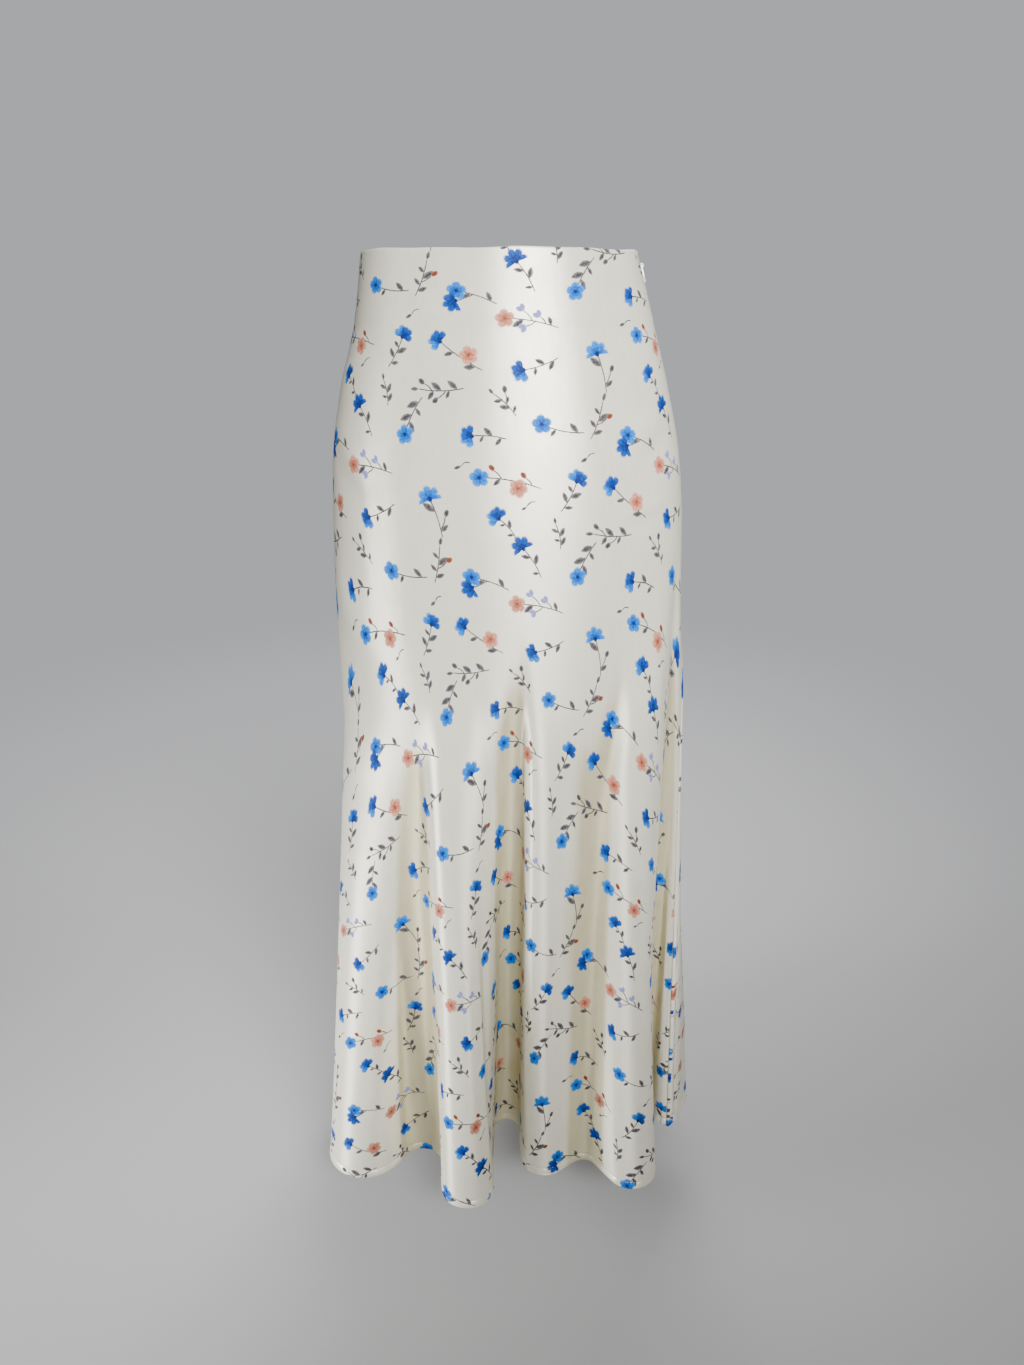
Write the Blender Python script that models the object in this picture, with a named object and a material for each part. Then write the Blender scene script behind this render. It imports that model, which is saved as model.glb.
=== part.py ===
"""Mermaid skirt: a fitted satin skirt that falls into deep flutes from the thigh, in its worn shape.

Metres, +Z up. The origin is the centre of the waist opening, +X is the wearer's left and -Y the front.
Every cloth piece is a thin closed wall cut from one form: a smooth body section at each depth below
the waist, blended into the fluted hem line. The hem line is a belt laid round a row of bends.
"""
import math
from typing import NamedTuple

import bmesh
import bpy
import numpy as np
from mathutils import Matrix, Vector

# ------------------------------------------------------------------ driving sizes
SKIRT_LENGTH = 0.925  # waist edge to hem
WALL = 0.0012  # cloth wall, modelled thickness
SEAM_GAP = 0.0003  # between two pieces sewn edge to edge
LAYER_GAP = 0.00035  # between two layers that lie on each other
FACING_DEPTH = 0.055
HEM_DEPTH = 0.009
BEND_STEP = math.radians(45)  # most that a bend turns from one column of the wall to the next
RUN_STEP = 14.0  # most degrees round the body from one column to the next
FOLD_EASE = 0.22  # share of a fold's height over which it starts softly

ZIP_LENGTH = 0.180
ZIP_OPENING = 0.0022  # width between the two seam edges where the zip lies
TAPE_WIDTH = 0.010
TAPE_TOP = 0.002  # depth of the tape's upper end
CHAIN_TOP = 0.0195  # depth where the chain leaves the slider
CHAIN_WIDTH = 0.0040
CHAIN_THICKNESS = 0.0016
SLIDER_DEPTH = 0.012  # depth of the slider's bridge below the waist edge
SLIDER_LENGTH = 0.010
SLIDER_WIDTH = 0.0070
SLIDER_THICKNESS = 0.0034
BRIDGE_WIDTH = 0.0014
BRIDGE_INNER = 0.0012  # radius round the pull's bar
BRIDGE_OUTER = 0.0022
BRIDGE_STEPS = 8
PULL_THICKNESS = 0.0012
PULL_LENGTH = 0.0150  # below the bar
PULL_NECK = 0.0046  # width at the eye
PULL_BELLY = 0.0064  # width at the drop
PULL_CLEARANCE = 0.0005  # to the cloth behind it
PULL_SIDES = 24
EYE_CLEARANCE = 0.0004  # between the pull's eye and the bridge


class Section(NamedTuple):
    """One level of the smooth body form, with half widths and half depths of its oval."""

    depth: float
    right: float
    left: float
    front: float
    back: float


class Bend(NamedTuple):
    """One rounded bend of the hem line and how its fold starts.

    crest is +1 for an outward flute and -1 for an inward valley. hip_angle is in degrees round the
    body, 0 at centre front and 90 at the wearer's left. starts is the depth where the fold begins,
    and growth is the power it deepens with.
    """

    name: str
    x: float
    y: float
    radius: float
    crest: int
    hip_angle: float
    starts: float
    growth: float


SECTIONS = (
    Section(depth=0.000, right=0.1225, left=0.1225, front=0.088, back=0.088),
    Section(depth=0.055, right=0.1305, left=0.1385, front=0.094, back=0.095),
    Section(depth=0.120, right=0.1480, left=0.1570, front=0.103, back=0.110),
    Section(depth=0.180, right=0.1580, left=0.1700, front=0.111, back=0.121),
    Section(depth=0.240, right=0.1610, left=0.1760, front=0.115, back=0.126),
    Section(depth=0.320, right=0.1630, left=0.1790, front=0.116, back=0.124),
    Section(depth=0.450, right=0.1620, left=0.1840, front=0.115, back=0.120),
    Section(depth=0.600, right=0.1650, left=0.1840, front=0.114, back=0.118),
    Section(depth=0.925, right=0.1650, left=0.1840, front=0.114, back=0.118),
)

BENDS = (
    Bend("right_seam", -0.1960, -0.0180, 0.016, -1, -90.0, 0.40, 1.20),
    Bend("front_flute_1", -0.1480, -0.1040, 0.042, 1, -60.0, 0.38, 1.20),
    Bend("front_valley_1", -0.0865, -0.1260, 0.022, -1, -33.0, 0.38, 1.10),
    Bend("front_flute_2", -0.0345, -0.1560, 0.027, 1, -20.0, 0.34, 1.15),
    Bend("front_valley_2", 0.0045, -0.0750, 0.015, -1, 5.3, 0.30, 0.95),
    Bend("front_flute_3", 0.0460, -0.1160, 0.025, 1, 12.5, 0.34, 1.00),
    Bend("front_valley_3", 0.0895, -0.1330, 0.015, -1, 29.5, 0.44, 1.20),
    Bend("front_flute_4", 0.1400, -0.1320, 0.026, 1, 42.0, 0.30, 1.20),
    Bend("side_valley", 0.1650, -0.0500, 0.008, -1, 74.0, 0.22, 0.70),
    Bend("left_seam", 0.1890, -0.0560, 0.014, 1, 90.0, 0.26, 0.90),
    Bend("side_flute", 0.1900, -0.0160, 0.030, 1, 101.0, 0.40, 1.20),
    Bend("back_valley_1", 0.2080, 0.0340, 0.015, -1, 113.0, 0.45, 1.20),
    Bend("back_flute_1", 0.1740, 0.0880, 0.030, 1, 128.0, 0.40, 1.20),
    Bend("back_valley_2", 0.1260, 0.1500, 0.022, -1, 143.0, 0.45, 1.20),
    Bend("back_flute_2", 0.0760, 0.1440, 0.026, 1, 157.0, 0.40, 1.20),
    Bend("back_valley_3", 0.0300, 0.1200, 0.018, -1, 172.0, 0.38, 1.10),
    Bend("back_flute_3", -0.0180, 0.1460, 0.026, 1, 188.0, 0.42, 1.20),
    Bend("back_valley_4", -0.0680, 0.1360, 0.020, -1, 204.0, 0.45, 1.20),
    Bend("back_flute_4", -0.1140, 0.1260, 0.024, 1, 220.0, 0.42, 1.20),
    Bend("back_valley_5", -0.1580, 0.1140, 0.016, -1, 237.0, 0.42, 1.20),
    Bend("back_flute_5", -0.1800, 0.0520, 0.030, 1, 255.0, 0.40, 1.20),
)
LEFT_SEAM = [bend.name for bend in BENDS].index("left_seam")

# depths of the wall's rows; the facing's and the hem's edges are among them
FACING_ROWS = (0.0, 0.0275, FACING_DEPTH)
PANEL_ROWS = FACING_ROWS + (
    0.09, 0.13, 0.18, 0.23, 0.28, 0.34, 0.40, 0.47, 0.54, 0.62, 0.70, 0.78, 0.855,
    SKIRT_LENGTH - HEM_DEPTH, SKIRT_LENGTH,
)
HEM_ROWS = PANEL_ROWS[-2:]
TAPE_ROWS = (TAPE_TOP, 0.0275, FACING_DEPTH, 0.09, 0.13, ZIP_LENGTH)
CHAIN_ROWS = (CHAIN_TOP,) + TAPE_ROWS[1:]


# ------------------------------------------------------------------ the form
def smooth_curve(xs, ys, x):
    """Monotone cubic curve through the points (xs, ys), read at x."""
    xs = np.asarray(xs, float)
    ys = np.asarray(ys, float)
    step = np.diff(xs)
    slope = np.diff(ys) / step
    tangent = np.zeros(len(xs))
    tangent[0] = slope[0]
    tangent[-1] = slope[-1]
    for i in range(1, len(xs) - 1):
        if slope[i - 1] * slope[i] > 0:
            before = 2 * step[i] + step[i - 1]
            after = step[i] + 2 * step[i - 1]
            tangent[i] = (before + after) / (before / slope[i - 1] + after / slope[i])
    i = int(np.clip(np.searchsorted(xs, x) - 1, 0, len(xs) - 2))
    t = (x - xs[i]) / step[i]
    return (
        (2 * t**3 - 3 * t**2 + 1) * ys[i]
        + (t**3 - 2 * t**2 + t) * step[i] * tangent[i]
        + (3 * t**2 - 2 * t**3) * ys[i + 1]
        + (t**3 - t**2) * step[i] * tangent[i + 1]
    )


class HemLine:
    """The hem seen from above: a belt of arcs round the bends and straight runs between them."""

    def __init__(self):
        count = len(BENDS)
        leaves = [None] * count
        reaches = [None] * count
        for i, bend in enumerate(BENDS):
            following = BENDS[(i + 1) % count]
            across = Vector((following.x - bend.x, following.y - bend.y))
            change = following.radius * following.crest - bend.radius * bend.crest
            heading = math.atan2(across.y, across.x) - math.asin(change / across.length)
            leaves[i] = heading
            reaches[(i + 1) % count] = heading
        self.pieces = []  # (length, bend, first heading, turn) for an arc, (length, start, end) for a run
        self.middles = []  # where each bend's middle lies along the hem
        self.turns = []  # how far each bend turns
        length = 0.0
        for i, bend in enumerate(BENDS):
            turn = (leaves[i] - reaches[i]) * bend.crest % (2 * math.pi)
            arc = turn * bend.radius
            self.turns.append(turn)
            self.middles.append(length + arc / 2)
            self.pieces.append((arc, bend, reaches[i], turn * bend.crest))
            start = self.on_bend(bend, leaves[i])
            end = self.on_bend(BENDS[(i + 1) % count], leaves[i])
            run = math.dist(start, end)
            self.pieces.append((run, start, end))
            length += arc + run
        self.length = length

    @staticmethod
    def on_bend(bend, heading):
        """The point of a bend where the hem runs in this heading."""
        reach = bend.radius * bend.crest
        return (bend.x + math.sin(heading) * reach, bend.y - math.cos(heading) * reach)

    def point(self, along):
        """The point this far along the hem from the first bend's start."""
        along %= self.length
        for piece in self.pieces:
            if along <= piece[0]:
                break
            along -= piece[0]
        share = min(along / piece[0], 1.0)
        if len(piece) == 4:
            _, bend, heading, turn = piece
            return self.on_bend(bend, heading + turn * share)
        _, start, end = piece
        return (start[0] + (end[0] - start[0]) * share, start[1] + (end[1] - start[1]) * share)


HEM = HemLine()


class Column(NamedTuple):
    """One upright line of the cloth: its angle round the body and its place along the hem."""

    angle: float
    place: float


def round_the_body(values, turn):
    """The bends' values repeated one turn before and after, for reading a closed curve."""
    return [v - turn for v in values] + list(values) + [v + turn for v in values]


PLACES = round_the_body(HEM.middles, HEM.length)
ANGLES = round_the_body([bend.hip_angle for bend in BENDS], 360.0)
STARTS = round_the_body([bend.starts for bend in BENDS], 0.0)
GROWTHS = round_the_body([bend.growth for bend in BENDS], 0.0)


def column_at(place):
    return Column(smooth_curve(PLACES, ANGLES, place), place)


def fold_share(column, depth):
    """How far the cloth has gone from the smooth body form to the hem line, from 0 to 1."""
    starts = smooth_curve(PLACES, STARTS, column.place)
    grown = min(max((depth - starts) / (SKIRT_LENGTH - starts), 0.0), 1.0)
    ease = min(grown / FOLD_EASE, 1.0)
    return grown ** smooth_curve(PLACES, GROWTHS, column.place) * ease * ease * (3 - 2 * ease)


def form_point(column, depth):
    """The skirt's outer surface on this column, this far below the waist, as x and y."""
    depths = [section.depth for section in SECTIONS]
    across = math.sin(math.radians(column.angle))
    ahead = math.cos(math.radians(column.angle))
    width = [section.left if across >= 0 else section.right for section in SECTIONS]
    reach = [section.front if ahead >= 0 else section.back for section in SECTIONS]
    body = (smooth_curve(depths, width, depth) * across, -smooth_curve(depths, reach, depth) * ahead)
    hem = HEM.point(column.place)
    share = fold_share(column, depth)
    return Vector((body[0] + (hem[0] - body[0]) * share, body[1] + (hem[1] - body[1]) * share))


def cloth_point(column, depth, inset=0.0, slide=0.0):
    """A point of the cloth, moved in from its outer side by inset and along its section by slide."""
    step = 0.0005
    turn = column_at(column.place + step).angle - column_at(column.place - step).angle
    before = form_point(Column(column.angle - turn / 2, column.place - step), depth)
    after = form_point(Column(column.angle + turn / 2, column.place + step), depth)
    along = (after - before).normalized()
    inward = Vector((-along.y, along.x))
    place = form_point(column, depth) + inward * inset + along * slide
    return Vector((place.x, place.y, -depth))


def columns(first, last):
    """The wall's columns from the middle of one bend to the middle of another."""
    places = []
    for i in range(first, last + 1):
        bend = BENDS[i % len(BENDS)]
        middle = HEM.middles[i % len(BENDS)] + (HEM.length if i >= len(BENDS) else 0.0)
        turn = HEM.turns[i % len(BENDS)]
        count = 2 * math.ceil(turn / BEND_STEP / 2)
        arc = turn * bend.radius
        steps = [middle + arc * (k / count - 0.5) for k in range(count + 1)]
        if i == first:
            steps = steps[count // 2 :]
        if i == last:
            steps = steps[: count // 2 + 1]
        if places:
            run = column_at(steps[0]).angle - column_at(places[-1]).angle
            pieces = math.ceil(run / RUN_STEP)
            start = places[-1]
            places += [start + (steps[0] - start) * k / pieces for k in range(1, pieces)]
        places += steps
    return [column_at(place) for place in places]


def beside_zip(distance, depth):
    """The column this far along the cloth from the left seam, to the front if distance is negative."""
    depths = [section.depth for section in SECTIONS]
    reach = [section.back if distance > 0 else section.front for section in SECTIONS]
    turn = math.degrees(distance / smooth_curve(depths, reach, depth))
    return Column(BENDS[LEFT_SEAM].hip_angle + turn, HEM.middles[LEFT_SEAM])


# ------------------------------------------------------------------ making objects
def clear_scene():
    for old in list(bpy.data.objects):
        bpy.data.objects.remove(old, do_unlink=True)


def material(name, colour, roughness, metallic=0.0):
    result = bpy.data.materials.new(name)
    result.use_nodes = True
    shader = result.node_tree.nodes["Principled BSDF"]
    shader.inputs["Base Color"].default_value = (*colour, 1.0)
    shader.inputs["Roughness"].default_value = roughness
    shader.inputs["Metallic"].default_value = metallic
    return result


def add_object(name, mesh, finish):
    mesh.materials.append(finish)
    result = bpy.data.objects.new(name, mesh)
    bpy.context.scene.collection.objects.link(result)
    return result


def wall(name, columns_at, rows, inset, thickness, edges, finish):
    """A closed cloth wall.

    columns_at gives the columns at a depth. inset is how far the wall's outer side lies
    inside the form. edges gives how far the two upright edges are pulled back at a depth.
    """
    count = len(columns_at(rows[0]))
    points = []
    for layer in (inset, inset + thickness):
        for depth in rows:
            first, last = edges(depth)
            slides = [first] + [0.0] * (count - 2) + [-last]
            points += [cloth_point(c, depth, layer, s) for c, s in zip(columns_at(depth), slides)]
    inner = count * len(rows)
    faces = []

    def quad(a, b, c, d):
        faces.append((a, b, c))
        faces.append((a, c, d))

    for row in range(len(rows) - 1):
        for column in range(count - 1):
            top = row * count + column
            low = top + count
            quad(top, low, low + 1, top + 1)
            quad(inner + top, inner + top + 1, inner + low + 1, inner + low)
    for column in range(count - 1):
        low = (len(rows) - 1) * count + column
        quad(column, column + 1, inner + column + 1, inner + column)
        quad(low, inner + low, inner + low + 1, low + 1)
    for row in range(len(rows) - 1):
        first = row * count
        last = first + count - 1
        quad(first, inner + first, inner + first + count, first + count)
        quad(last, last + count, inner + last + count, inner + last)
    mesh = bpy.data.meshes.new(name)
    mesh.from_pydata([tuple(point) for point in points], [], faces)
    mesh.shade_smooth()
    mesh.set_sharp_from_angle(angle=math.radians(50))
    return add_object(name, mesh, finish)


def sewn_edges(depth):
    """Half the gap at two sewn seams."""
    return SEAM_GAP / 2, SEAM_GAP / 2


def zip_gap(depth):
    """Half the gap at the left seam, which is wider where the zip lies."""
    return ZIP_OPENING / 2 if depth <= ZIP_LENGTH else SEAM_GAP / 2


# ------------------------------------------------------------------ the cloth pieces
FRONT_COLUMNS = columns(0, LEFT_SEAM)
BACK_COLUMNS = columns(LEFT_SEAM, len(BENDS))
FACING_STOP = ZIP_OPENING / 2 + TAPE_WIDTH + SEAM_GAP


def build_panels():
    colour = (0.83, 0.79, 0.70)
    wall(
        "front_panel", lambda depth: FRONT_COLUMNS, PANEL_ROWS, 0.0, WALL,
        lambda depth: (SEAM_GAP / 2, zip_gap(depth)), material("front satin", colour, 0.38),
    )
    wall(
        "back_panel", lambda depth: BACK_COLUMNS, PANEL_ROWS, 0.0, WALL,
        lambda depth: (zip_gap(depth), SEAM_GAP / 2), material("back satin", colour, 0.38),
    )


def build_facings():
    """Waist facings inside the panels, which stop beside the zip's tapes."""
    colour = (0.80, 0.75, 0.65)
    last_front = beside_zip(-FACING_STOP, 0.0).angle - 1.5
    first_back = beside_zip(FACING_STOP, 0.0).angle + 1.5

    def front(depth):
        stop = beside_zip(-FACING_STOP, depth)
        return [column for column in FRONT_COLUMNS if column.angle < last_front] + [stop]

    def back(depth):
        stop = beside_zip(FACING_STOP, depth)
        return [stop] + [column for column in BACK_COLUMNS if column.angle > first_back]

    for name, columns_at, edges in (
        ("front_facing", front, lambda depth: (SEAM_GAP / 2, 0.0)),
        ("back_facing", back, lambda depth: (0.0, SEAM_GAP / 2)),
    ):
        wall(name, columns_at, FACING_ROWS, WALL + LAYER_GAP, WALL, edges, material(name, colour, 0.45))


def build_hems():
    """The turned hem allowance, inside the panels' lower edge."""
    colour = (0.85, 0.81, 0.72)
    for name, hem_columns in (("front_hem", FRONT_COLUMNS), ("back_hem", BACK_COLUMNS)):
        wall(
            name, lambda depth, hem_columns=hem_columns: hem_columns, HEM_ROWS, WALL + LAYER_GAP, WALL,
            sewn_edges, material(name, colour, 0.40),
        )


# ------------------------------------------------------------------ the zip in the left seam
def build_tapes():
    """Two tapes behind the seam's edges and the closed chain on their inner side."""
    colour = (0.86, 0.83, 0.76)
    near = ZIP_OPENING / 2
    steps = [near + TAPE_WIDTH * k / 3 for k in range(4)]
    under = WALL + LAYER_GAP

    def flush(depth):
        return 0.0, 0.0

    for name, distances in (
        ("zip_tape_front", [-step for step in reversed(steps)]),
        ("zip_tape_back", steps),
    ):
        wall(
            name, lambda depth, distances=distances: [beside_zip(d, depth) for d in distances],
            TAPE_ROWS, under, WALL, flush, material(name, colour, 0.6),
        )
    sides = (-CHAIN_WIDTH / 2, CHAIN_WIDTH / 2)
    wall(
        "zip_chain", lambda depth: [beside_zip(side, depth) for side in sides],
        CHAIN_ROWS, under + WALL + LAYER_GAP, CHAIN_THICKNESS, flush, material("zip_chain", colour, 0.35),
    )


def bridge_frame():
    """Frame at the pull's bar: x out of the cloth, y to the back, z up along the cloth."""
    seam = column_at(HEM.middles[LEFT_SEAM])
    above = cloth_point(seam, FACING_ROWS[0])
    below = cloth_point(seam, FACING_ROWS[1])
    up = (above - below).normalized()
    back = Vector((0.0, 1.0, 0.0))
    out = back.cross(up)
    share = SLIDER_DEPTH / FACING_ROWS[1]
    bar = above.lerp(below, share) + out * (PULL_CLEARANCE + PULL_THICKNESS / 2)
    turn = Matrix((out, back, up)).transposed().to_4x4()
    return Matrix.Translation(bar) @ turn


def prism(outline, low, high):
    """Closed mesh of an outline in x and z, from low to high along y."""
    bm = bmesh.new()
    face = bm.faces.new([bm.verts.new((x, low, z)) for x, z in outline])
    grown = bmesh.ops.extrude_face_region(bm, geom=[face])
    moved = [item for item in grown["geom"] if isinstance(item, bmesh.types.BMVert)]
    bmesh.ops.translate(bm, verts=moved, vec=(0.0, high - low, 0.0))
    bmesh.ops.recalc_face_normals(bm, faces=bm.faces)
    return bm


def to_mesh(bm, name, frame):
    mesh = bpy.data.meshes.new(name)
    bmesh.ops.transform(bm, matrix=frame, verts=bm.verts)
    bm.to_mesh(mesh)
    bm.free()
    return mesh


def build_slider(frame):
    """The slider's body behind the tapes and the bridge that comes out through the seam."""
    steel = material("slider metal", (0.80, 0.78, 0.73), 0.30, 0.9)
    bar = PULL_CLEARANCE + PULL_THICKNESS / 2
    face = -bar - 2 * (WALL + LAYER_GAP)
    back = face - SLIDER_THICKNESS
    half = SLIDER_LENGTH / 2
    side = [(face, -half), (face, half), (back, half), (back, -half)]
    body = prism(side, -SLIDER_WIDTH / 2, SLIDER_WIDTH / 2)
    bmesh.ops.bevel(body, geom=list(body.edges), offset=0.0006, segments=2, affect="EDGES", profile=0.5)
    root = face - SLIDER_THICKNESS / 3
    angles = [math.pi * (k / BRIDGE_STEPS - 0.5) for k in range(BRIDGE_STEPS + 1)]
    ring = [(BRIDGE_OUTER * math.cos(a), BRIDGE_OUTER * math.sin(a)) for a in angles]
    hole = [(BRIDGE_INNER * math.cos(a), BRIDGE_INNER * math.sin(a)) for a in reversed(angles)]
    outline = [(root, -BRIDGE_OUTER)] + ring + [(root, BRIDGE_OUTER), (root, BRIDGE_INNER)]
    outline += hole + [(root, -BRIDGE_INNER)]
    bridge = prism(outline, -BRIDGE_WIDTH / 2, BRIDGE_WIDTH / 2)
    slider = add_object("zip_slider", to_mesh(body, "zip_slider", frame), steel)
    guide = add_object("bridge_guide", to_mesh(bridge, "bridge_guide", frame), steel)
    guide.hide_render = True
    guide.display_type = "WIRE"
    joined = slider.modifiers.new("bridge", "BOOLEAN")
    joined.operation = "UNION"
    joined.object = guide


def reach_of(inside, angle, start, limit):
    """How far from start an outline reaches in this direction, where inside tests a point."""
    near = 0.0
    far = limit
    for _ in range(30):
        middle = (near + far) / 2
        if inside(start[0] + middle * math.cos(angle), start[1] + middle * math.sin(angle)):
            near = middle
        else:
            far = middle
    return near


def in_pull(y, z):
    """True inside the pull's drop outline, whose bar is at the origin and whose tip points down."""
    top = PULL_THICKNESS / 2
    belly = PULL_BELLY / 2
    centre = belly - PULL_LENGTH
    if z < centre:
        return math.hypot(y, z - centre) <= belly
    share = (top - z) / (top - centre)
    return z <= top and abs(y) <= PULL_NECK / 2 + (belly - PULL_NECK / 2) * share


def in_eye(y, z):
    """True inside the pull's eye, which runs round the bridge."""
    low = -BRIDGE_OUTER - EYE_CLEARANCE
    return abs(y) <= BRIDGE_WIDTH / 2 + EYE_CLEARANCE and low <= z <= -PULL_THICKNESS / 2


def build_pull(frame):
    """The drop-shaped pull, hanging on the bridge. Its object's origin is on the bar it turns about."""
    middle = (0.0, -(PULL_THICKNESS / 2 + BRIDGE_OUTER + EYE_CLEARANCE) / 2)
    bm = bmesh.new()
    rings = []
    for x in (-PULL_THICKNESS / 2, PULL_THICKNESS / 2):
        for inside in (in_pull, in_eye):
            ring = []
            for k in range(PULL_SIDES):
                angle = 2 * math.pi * (k + 0.5) / PULL_SIDES
                reach = reach_of(inside, angle, middle, 2 * PULL_LENGTH)
                place = (x, middle[0] + reach * math.cos(angle), middle[1] + reach * math.sin(angle))
                ring.append(bm.verts.new(place))
            rings.append(ring)
    back_rim, back_eye, front_rim, front_eye = rings
    for k in range(PULL_SIDES):
        n = (k + 1) % PULL_SIDES
        bm.faces.new((front_rim[k], front_rim[n], front_eye[n], front_eye[k]))
        bm.faces.new((back_rim[k], back_eye[k], back_eye[n], back_rim[n]))
        bm.faces.new((back_rim[k], back_rim[n], front_rim[n], front_rim[k]))
        bm.faces.new((back_eye[k], front_eye[k], front_eye[n], back_eye[n]))
    pull = add_object(
        "zip_pull", to_mesh(bm, "zip_pull", Matrix()), material("pull metal", (0.80, 0.78, 0.73), 0.30, 0.9)
    )
    pull.matrix_world = frame


clear_scene()
build_panels()
build_facings()
build_hems()
build_tapes()
BRIDGE_FRAME = bridge_frame()
build_slider(BRIDGE_FRAME)
build_pull(BRIDGE_FRAME)
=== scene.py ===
"""Looks of the mermaid skirt: printed satin that falls into deep flutes, with its facing, hem and side zip.

Metres, +Z up. The origin is the centre of the waist opening, +X is the wearer's left and -Y the front.
Cloth is laid out by two numbers: a column's angle round the body, 0 at centre front and 90 at the
wearer's left, and the depth below the waist. The print is laid out in the plane of the flat cloth.
"""

import logging
import math
from dataclasses import dataclass, field
from enum import Enum

import bpy
import numpy as np
from mathutils import Matrix, Vector, noise


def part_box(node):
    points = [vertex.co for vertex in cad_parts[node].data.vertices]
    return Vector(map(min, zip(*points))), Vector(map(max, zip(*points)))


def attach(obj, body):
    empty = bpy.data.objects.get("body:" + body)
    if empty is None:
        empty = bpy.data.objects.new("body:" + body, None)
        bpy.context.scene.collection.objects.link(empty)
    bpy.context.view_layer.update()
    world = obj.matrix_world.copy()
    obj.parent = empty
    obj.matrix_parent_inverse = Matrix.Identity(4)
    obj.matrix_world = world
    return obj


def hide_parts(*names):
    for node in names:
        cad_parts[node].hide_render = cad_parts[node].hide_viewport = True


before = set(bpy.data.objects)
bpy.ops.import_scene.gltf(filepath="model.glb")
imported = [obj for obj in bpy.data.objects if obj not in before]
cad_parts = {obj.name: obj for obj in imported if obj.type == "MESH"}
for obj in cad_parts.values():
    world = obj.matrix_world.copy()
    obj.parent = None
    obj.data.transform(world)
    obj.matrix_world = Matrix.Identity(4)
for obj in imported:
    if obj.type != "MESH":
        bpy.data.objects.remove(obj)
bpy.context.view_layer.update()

MM = 0.001
SKIRT_LENGTH = -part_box("front_panel")[0].z
FACING_DEPTH = 0.055
SATIN_THICKNESS = 0.40 * MM

log = logging.getLogger("mermaid_skirt")

Array = np.ndarray
Colour = Point = tuple[float, float, float]
Finish = bpy.types.Material
Pair = tuple[float, float]
Piece = bpy.types.Object
Socket = bpy.types.NodeSocket
Tree = bpy.types.NodeTree


# ---- the worn form
@dataclass(frozen=True)
class Section:
    """One level of the smooth body form, with half widths and half depths of its oval."""

    depth: float
    right: float
    left: float
    front: float
    back: float


@dataclass(frozen=True)
class Bend:
    """One rounded bend of the hem line and how its fold starts.

    crest is +1 for an outward flute and -1 for an inward valley. angle is in degrees round the hips.
    starts is the depth where the fold begins, and growth is the power it deepens with.
    """

    name: str
    x: float
    y: float
    radius: float
    crest: int
    angle: float
    starts: float
    growth: float


SECTIONS = (
    Section(0.000, 0.1225, 0.1225, 0.088, 0.088),
    Section(0.055, 0.1305, 0.1385, 0.094, 0.095),
    Section(0.120, 0.1480, 0.1570, 0.103, 0.110),
    Section(0.180, 0.1580, 0.1700, 0.111, 0.121),
    Section(0.240, 0.1610, 0.1760, 0.115, 0.126),
    Section(0.320, 0.1630, 0.1790, 0.116, 0.124),
    Section(0.450, 0.1620, 0.1840, 0.115, 0.120),
    Section(0.600, 0.1650, 0.1840, 0.114, 0.118),
    Section(0.925, 0.1650, 0.1840, 0.114, 0.118),
)

BENDS = (
    Bend("right_seam", -0.1960, -0.0180, 0.016, -1, -90.0, 0.40, 1.20),
    Bend("front_flute_1", -0.1480, -0.1040, 0.042, 1, -60.0, 0.38, 1.20),
    Bend("front_valley_1", -0.0865, -0.1260, 0.022, -1, -33.0, 0.38, 1.10),
    Bend("front_flute_2", -0.0345, -0.1560, 0.027, 1, -20.0, 0.34, 1.15),
    Bend("front_valley_2", 0.0045, -0.0750, 0.015, -1, 5.3, 0.30, 0.95),
    Bend("front_flute_3", 0.0460, -0.1160, 0.025, 1, 12.5, 0.34, 1.00),
    Bend("front_valley_3", 0.0895, -0.1330, 0.015, -1, 29.5, 0.44, 1.20),
    Bend("front_flute_4", 0.1400, -0.1320, 0.026, 1, 42.0, 0.30, 1.20),
    Bend("side_valley", 0.1650, -0.0500, 0.008, -1, 74.0, 0.22, 0.70),
    Bend("left_seam", 0.1890, -0.0560, 0.014, 1, 90.0, 0.26, 0.90),
    Bend("side_flute", 0.1900, -0.0160, 0.030, 1, 101.0, 0.40, 1.20),
    Bend("back_valley_1", 0.2080, 0.0340, 0.015, -1, 113.0, 0.45, 1.20),
    Bend("back_flute_1", 0.1740, 0.0880, 0.030, 1, 128.0, 0.40, 1.20),
    Bend("back_valley_2", 0.1260, 0.1500, 0.022, -1, 143.0, 0.45, 1.20),
    Bend("back_flute_2", 0.0760, 0.1440, 0.026, 1, 157.0, 0.40, 1.20),
    Bend("back_valley_3", 0.0300, 0.1200, 0.018, -1, 172.0, 0.38, 1.10),
    Bend("back_flute_3", -0.0180, 0.1460, 0.026, 1, 188.0, 0.42, 1.20),
    Bend("back_valley_4", -0.0680, 0.1360, 0.020, -1, 204.0, 0.45, 1.20),
    Bend("back_flute_4", -0.1140, 0.1260, 0.024, 1, 220.0, 0.42, 1.20),
    Bend("back_valley_5", -0.1580, 0.1140, 0.016, -1, 237.0, 0.42, 1.20),
    Bend("back_flute_5", -0.1800, 0.0520, 0.030, 1, 255.0, 0.40, 1.20),
)
LEFT_SEAM = [bend.name for bend in BENDS].index("left_seam")


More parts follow.
